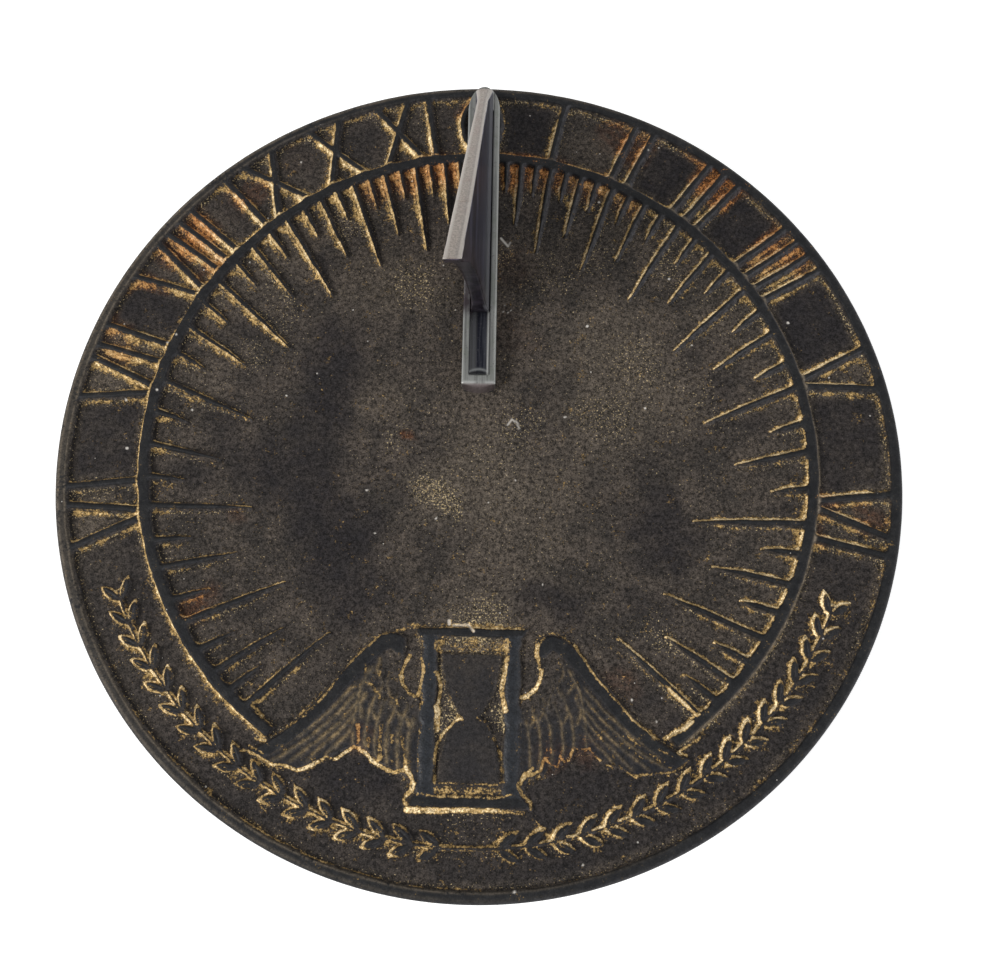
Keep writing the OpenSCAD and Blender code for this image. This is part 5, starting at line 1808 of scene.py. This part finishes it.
# %% Blade finish
blade_finish, paint, shader, place = new_material("polished_blade")
grind = streaks(paint, place, 1400.0, "z", 12.0)
polish = streaks(paint, place, 300.0, "y", 30.0)
long_marks = streaks(paint, place, 2200.0, "y", 60.0)
up = paint.node("SeparateXYZ")
paint.put(up.inputs[0], paint.node("NewGeometry").outputs["True Normal"])
on_top = paint.span(up.outputs["Z"], 0.35, 0.7)
tone_top = paint.coats(
    paint.blend(paint.span(long_marks, 0.32, 0.68), (122, 113, 105), (158, 148, 138)),
    (paint.span(paint.noise(place, 160.0, 3.0), 0.46, 0.66, 0.0, 0.5), (134, 117, 110)),
    (paint.scaled(paint.layer("top_groove"), 0.5), (108, 103, 102)),
    # A painted highlight along the style's rounded edges
    (paint.scaled(paint.layer("style_edge_highlight"), 0.75), (180, 173, 165)))
south_reflection_mottle = paint.span(paint.noise(place, 300.0, 3.0, 0.65), 0.42, 0.58)
foot = paint.scaled(paint.layer("foot"), 0.8)
# The sides' colour is a painted reflection: dark blue streaks, brown blotches to the south, and the rail's
# light at the foot
side_reflection_tone = paint.coats(
    paint.blend(paint.span(polish, 0.40, 0.62), (33, 33, 49), (84, 85, 108)),
    (paint.span(paint.noise(place, 210.0, 3.0), 0.46, 0.66, 0.0, 0.5), (44, 36, 44)),
    (paint.times(paint.layer("hollow"), 0.75), paint.blend(south_reflection_mottle, (42, 33, 36), (86, 76, 84))),
    (foot, (104, 104, 110)))
paint.put(shader["Base Color"], paint.blend(on_top, side_reflection_tone, tone_top))
metallic = paint.less(paint.span(on_top, 0.0, 1.0, 0.7, 0.3), paint.scaled(foot, 0.5))
paint.put(shader["Metallic"], metallic)
paint.put(shader["Roughness"], paint.add(paint.span(on_top, 0.0, 1.0, 0.3, 0.5), paint.scaled(grind, 0.08)))
bump(paint, shader, polish, 0.0003, 0.3)

# %% Blade piece
SOUTH_PART, SOUTH_SLANT, FOOT_H = 55, 0.3, 5.5
mesh = grid_mesh("blade", blade_points, wrap=True, cap_first=True, cap_last=True)
blade_y, blade_z = blade_points[..., 1], blade_points[..., 2]
spread = blade_spread(blade_points)
blade_layers = {"hollow": soft_step(SOUTH_PART - blade_y - SOUTH_SLANT * blade_z, 9.0),
                # A painted highlight at the style's edges
                "style_edge_highlight": soft_step(np.abs(spread) - 0.62, 0.3),
                "top_groove": soft_line(spread - 0.42, 0.14),
                "foot": soft_step(RAIL_TOP + FOOT_H - blade_z, 3.0) * (spread > 0.5)}
for label, values in blade_layers.items():
    # The last two values are for the middles of the two caps
    set_layer(mesh, label, np.append(values.ravel(), [0.0, 1.0 if label == "hollow" else 0.0]))
add_piece(mesh, blade_finish, "blade_metal", "gnomon_blade")
print("blade faces", len(mesh.polygons))

# %% [markdown]
# ## Fasteners
# The screws and washers under the plate keep their own solids. They only need a finish:
# dull zinc, a little cloudy, the washers darker than the screws.

# %% Fastener finishes
ZINC_TONES = {"gnomon_screws": ((110, 110, 106), (150, 150, 148)),
              "screw_washers": ((98, 98, 92), (138, 138, 134))}
for node_name, (dark, light) in ZINC_TONES.items():
    finish, paint, shader, place = new_material(node_name + "_finish")
    cloud = paint.noise(place, 900.0, 3.0)
    paint.put(shader["Base Color"], paint.blend(paint.span(cloud, 0.3, 0.7), dark, light))
    paint.put(shader["Roughness"], paint.span(cloud, 0.3, 0.7, 0.32, 0.5))
    paint.put(shader["Metallic"], 0.9)
    bump(paint, shader, paint.noise(place, 2500.0, 2.0, 0.5), 0.0001, 0.4)
    node_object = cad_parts[node_name]
    for material_slot in node_object.material_slots:
        material_slot.material = finish
    print(node_name, "slots", len(node_object.material_slots))

# %% [markdown]
# ## Floor and light
# The plate lies on a white floor. A key lamp stands to the south-west, where the bright
# slopes of the numerals face, and a weaker one opposite. The floor looks white to the camera
# and in reflections, but it still darkens where the plate keeps the light off it.

# %% Floor
FLOOR_HALF, FLOOR_Z = 4, -0.0004
WHITE = (1, 1, 1, 1)


def plain_rays(paint):
    """1 for rays that should see clean white: those of the camera, of mirrors and of glass."""
    rays = paint.node("LightPath").outputs
    seen = paint.larger(rays["Is Camera Ray"], rays["Is Glossy Ray"])
    return paint.larger(seen, rays["Is Transmission Ray"])


corners = [(x * FLOOR_HALF, y * FLOOR_HALF, FLOOR_Z) for x, y in ((-1, -1), (1, -1), (1, 1), (-1, 1))]
floor_mesh = bpy.data.meshes.new("floor")
floor_mesh.from_pydata(corners, [], [(0, 1, 2, 3)])
floor = bpy.data.objects.new("floor", floor_mesh)
bpy.context.collection.objects.link(floor)
floor_finish, paint, shader, place = new_material("white_floor")
floor_mesh.materials.append(floor_finish)
paint.put(shader["Base Color"], (0.8, 0.8, 0.8, 1))
paint.put(shader["Roughness"], 0.9)
paint.put(shader["Specular IOR Level"], 0.0)
paint.put(shader["Emission Color"], WHITE)
paint.put(shader["Emission Strength"], paint.scaled(plain_rays(paint), 0.6))
print("floor", 2 * FLOOR_HALF, "m wide")

# %% [markdown]
# ## Lamps and surroundings
# Two square lamps give the soft studio light, the key a little warm and the fill a little
# cool. The surroundings are white to the camera and in reflections, but they light dull
# paint only half as strongly, so it stays dark.

# %% Light


def add_lamp(name, place, size, energy, colour):
    """A square area lamp that faces the dial."""
    data = bpy.data.lights.new(name, "AREA")
    data.size = size
    data.energy = energy
    data.color = colour
    lamp = bpy.data.objects.new(name, data)
    bpy.context.collection.objects.link(lamp)
    lamp.location = place
    lamp.rotation_euler = (-Vector(place)).to_track_quat("-Z", "Y").to_euler()


add_lamp("key_west", (-1.55, -0.7, 1.15), 0.9, 34.0, (1.0, 0.985, 0.96))
add_lamp("fill_east", (1.4, -0.6, 1.2), 1.2, 9.0, (0.92, 0.96, 1.0))
world = bpy.data.worlds.new("studio")
bpy.context.scene.world = world
world.use_nodes = True
paint = Painter(world.node_tree)
back = world.node_tree.nodes["Background"].inputs
paint.put(back["Color"], WHITE)
paint.put(back["Strength"], paint.span(plain_rays(paint), 0.0, 1.0, 0.5, 1.0))
bpy.context.scene.view_settings.view_transform = "Standard"
print("lamps", len(bpy.data.lights))
